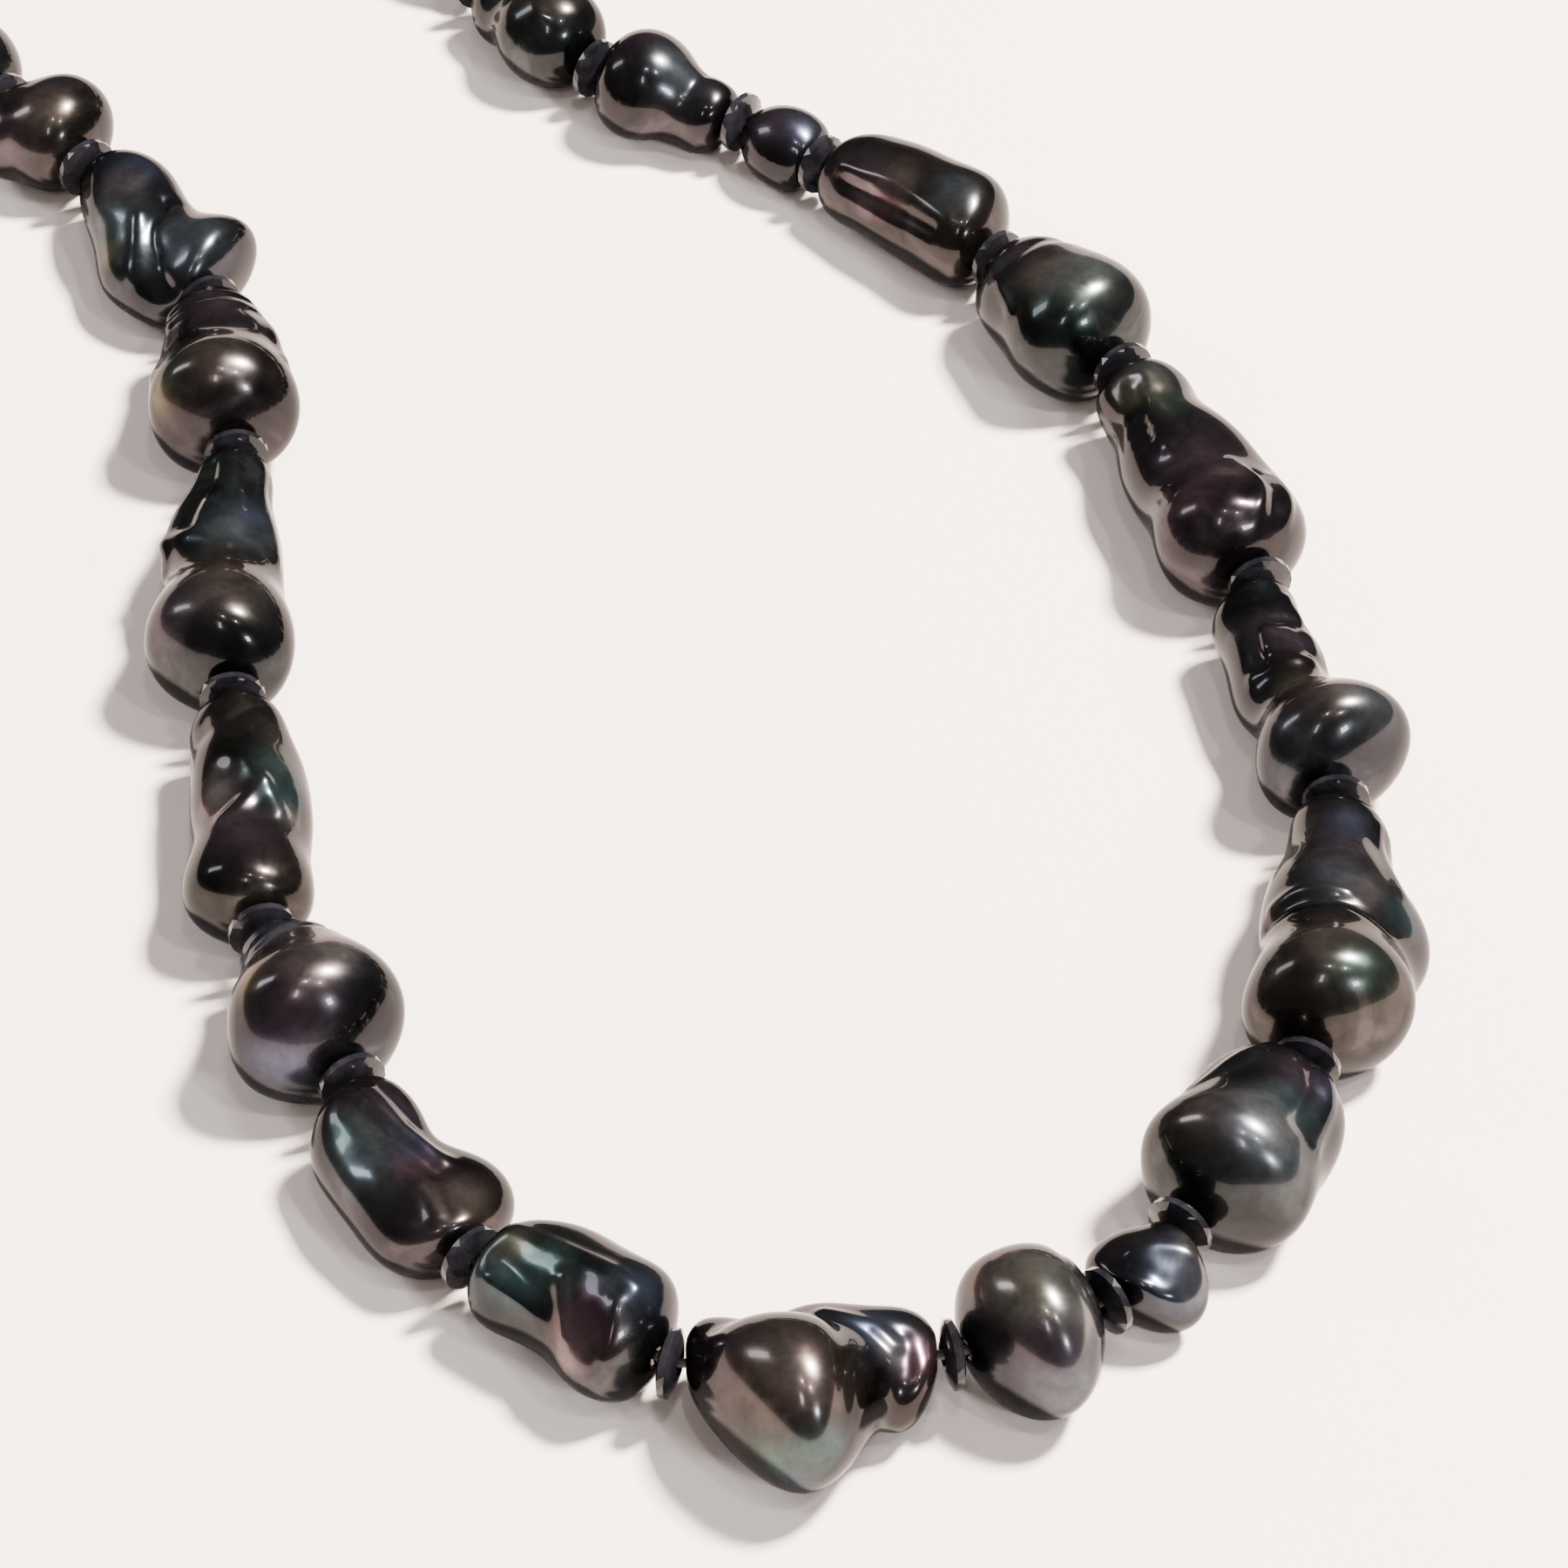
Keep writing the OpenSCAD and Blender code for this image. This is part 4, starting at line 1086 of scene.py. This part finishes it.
# %% Shape of cup and knot
CUP_R = 2.2
CUP_WALL = 0.45
CUP_HOLE_R = 0.6
CUP_SIDES = 64
CUP_GAP = 0.3
CUP_X = SPACER_T / 2 + CUP_GAP + CUP_R
POLE_TURN = 0.02
SEAM_DEPTH = 0.07
SEAM_WIDTH = 0.10
KNOT_SIZE = 0.27


def cup_profile():
    """Inside of the ball from its far pole to the hole, then the outside back. The outside dips by
    SEAM_DEPTH * exp(-(x / SEAM_WIDTH)^2) where the two halves of the cup close on each other."""
    hole_turn = math.asin(CUP_HOLE_R / CUP_R)
    inner_turn = math.asin(CUP_HOLE_R / (CUP_R - CUP_WALL))
    inside = np.linspace(POLE_TURN, np.pi - inner_turn, 30)
    outside = np.linspace(np.pi - hole_turn, POLE_TURN, 72)
    outer = CUP_R - SEAM_DEPTH * np.exp(-(CUP_R * np.cos(outside) / SEAM_WIDTH) ** 2)
    turn = np.concatenate([inside, outside])
    radius = np.concatenate([np.full(len(inside), CUP_R - CUP_WALL), outer])
    return np.stack([CUP_X + radius * np.cos(turn), radius * np.sin(turn)], axis=-1)


def overhand_knot(count=120):
    """The middle line of the knot: KNOT_SIZE * (-sin 3t, sin t + 2 sin 2t, cos t - 2 cos 2t)."""
    t = np.linspace(0, 2 * np.pi, count, endpoint=False)
    y, z = np.sin(t) + 2 * np.sin(2 * t), np.cos(t) - 2 * np.cos(2 * t)
    return KNOT_SIZE * np.stack([-np.sin(3 * t), y, z], axis=-1) + np.array([CUP_X, 0, 0])


def circle_path(centre_x, radius, upright, count=72):
    """A round path about (centre_x, 0, 0), flat in X and Y, or upright in X and Z."""
    t = np.linspace(0, 2 * np.pi, count, endpoint=False)
    x, side, zero = centre_x + radius * np.cos(t), radius * np.sin(t), np.zeros(count)
    return np.stack([x, zero, side] if upright else [x, side, zero], axis=-1)


print("cup middle", round(CUP_X, 2), "mm from the middle of its disc")

# %% Cups, loops, knots and rings at both ends
LOOP_R = 1.15
LOOP_WIRE_R = 0.3
LOOP_SOLDER = 0.25
LOOP_X = CUP_X + CUP_R + LOOP_R - LOOP_SOLDER
LOOP_SIDES = 20
RING_WIRE_R = 0.35
RING_SIDES = 24
KNOT_STRAND_R = 0.28
KNOT_SIDES = 14
TAIL_RINGS = 12


def add_ring_tube(name, end, path, radius, sides, body, material, stands_for):
    """A closed tube that ends where it began."""
    points = to_end(end, tube_along(path, radius, sides, closed=True))
    piece = make_piece(name, points, tube_quads(len(path), sides, close_rings=True), body)
    piece.data.materials.append(material)
    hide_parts(stands_for)


def add_end(end, word):
    """The cup with its loop, the knot and the silk that leads to it, and the jump ring."""
    cover, ring = f"{word}_cover", f"{word}_jump_ring"
    cup = to_end(end, revolve(cup_profile(), CUP_SIDES))
    add_tube(f"{word}_cup", cup, cover, silver, cover)
    loop = circle_path(LOOP_X, LOOP_R, upright=False)
    add_ring_tube(f"{word}_loop", end, loop, LOOP_WIRE_R, LOOP_SIDES, cover, silver, cover)
    add_ring_tube(f"{word}_knot", end, overhand_knot(), KNOT_STRAND_R, KNOT_SIDES,
                  cover, silk, "thread")
    tail_line = np.linspace([0, 0, 0], [CUP_X, 0, 0], TAIL_RINGS)
    tail = to_end(end, tube_along(tail_line, THREAD_R, THREAD_SIDES, closed=False))
    add_tube(f"{word}_tail", tail, cover, silk, "thread")
    wire = circle_path(end["middle"], end["middle"] - end["near"], upright=True)
    add_ring_tube(f"{word}_wire", end, wire, RING_WIRE_R, RING_SIDES, ring, silver, ring)


add_end(ring_end, "ring_end")
add_end(clasp_end, "clasp_end")
print("cup at", round(CUP_X, 2), "loop at", round(LOOP_X, 2), "mm")

# %% [markdown]
# ## Clasp and tab
# These are cast and stamped parts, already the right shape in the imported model, but their edges
# are knife sharp. A copy of each is merged into one skin, its flat faces are joined, and a small
# bevel rounds every sharp edge, as tumbling does to a casting.

# %% Rounded castings
WELD_DISTANCE = 2e-6
FLAT_ANGLE = math.radians(1.0)
SHARP_ANGLE = math.radians(30)
BEVEL_SEGMENTS = 3
CASTINGS = [
    # (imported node, name, bevel in mm, body, material, slot)
    ("clasp_body", "claw_casting", 0.16, "clasp_body", silver, "clasp_metal"),
    ("clasp_lever", "lever_stamping", 0.08, "clasp_lever", silver, "clasp_metal"),
    ("clasp_tab", "tab_stamping", 0.12, "clasp_tab", silver, "clasp_metal"),
    ("clasp_pivot_pin", "pin_turned", 0.06, "clasp_body", silver, "clasp_metal"),
    ("clasp_spring", "leaf_spring", 0.03, "clasp_body", steel, "spring_steel"),
]


def rounded_copy(node_name, name, width, body, material, slot):
    """A merged copy of a CAD node with its sharp edges bevelled by the given width in millimetres."""
    source = frame["nodes"][node_name]
    work = bmesh.new()
    work.from_mesh(source.data)
    bmesh.ops.remove_doubles(work, verts=work.verts, dist=WELD_DISTANCE)
    bmesh.ops.dissolve_limit(work, angle_limit=FLAT_ANGLE, verts=work.verts, edges=work.edges)
    mesh = bpy.data.meshes.new(name)
    work.to_mesh(mesh)
    work.free()
    mesh.materials.clear()
    mesh.materials.append(material)
    piece = bpy.data.objects.new(name, mesh)
    bpy.context.scene.collection.objects.link(piece)
    bevel = piece.modifiers.new("tumbled edges", "BEVEL")
    bevel.width = width * MM
    bevel.segments = BEVEL_SEGMENTS
    bevel.limit_method = "ANGLE"
    bevel.angle_limit = SHARP_ANGLE
    bevel.harden_normals = False
    mesh.polygons.foreach_set("use_smooth", np.full(len(mesh.polygons), True))
    shading = piece.modifiers.new("soft shading", "WEIGHTED_NORMAL")
    shading.keep_sharp = False
    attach(piece, body)
    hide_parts(node_name)
    print(name, "faces", len(mesh.polygons))


for casting in CASTINGS:
    rounded_copy(*casting)
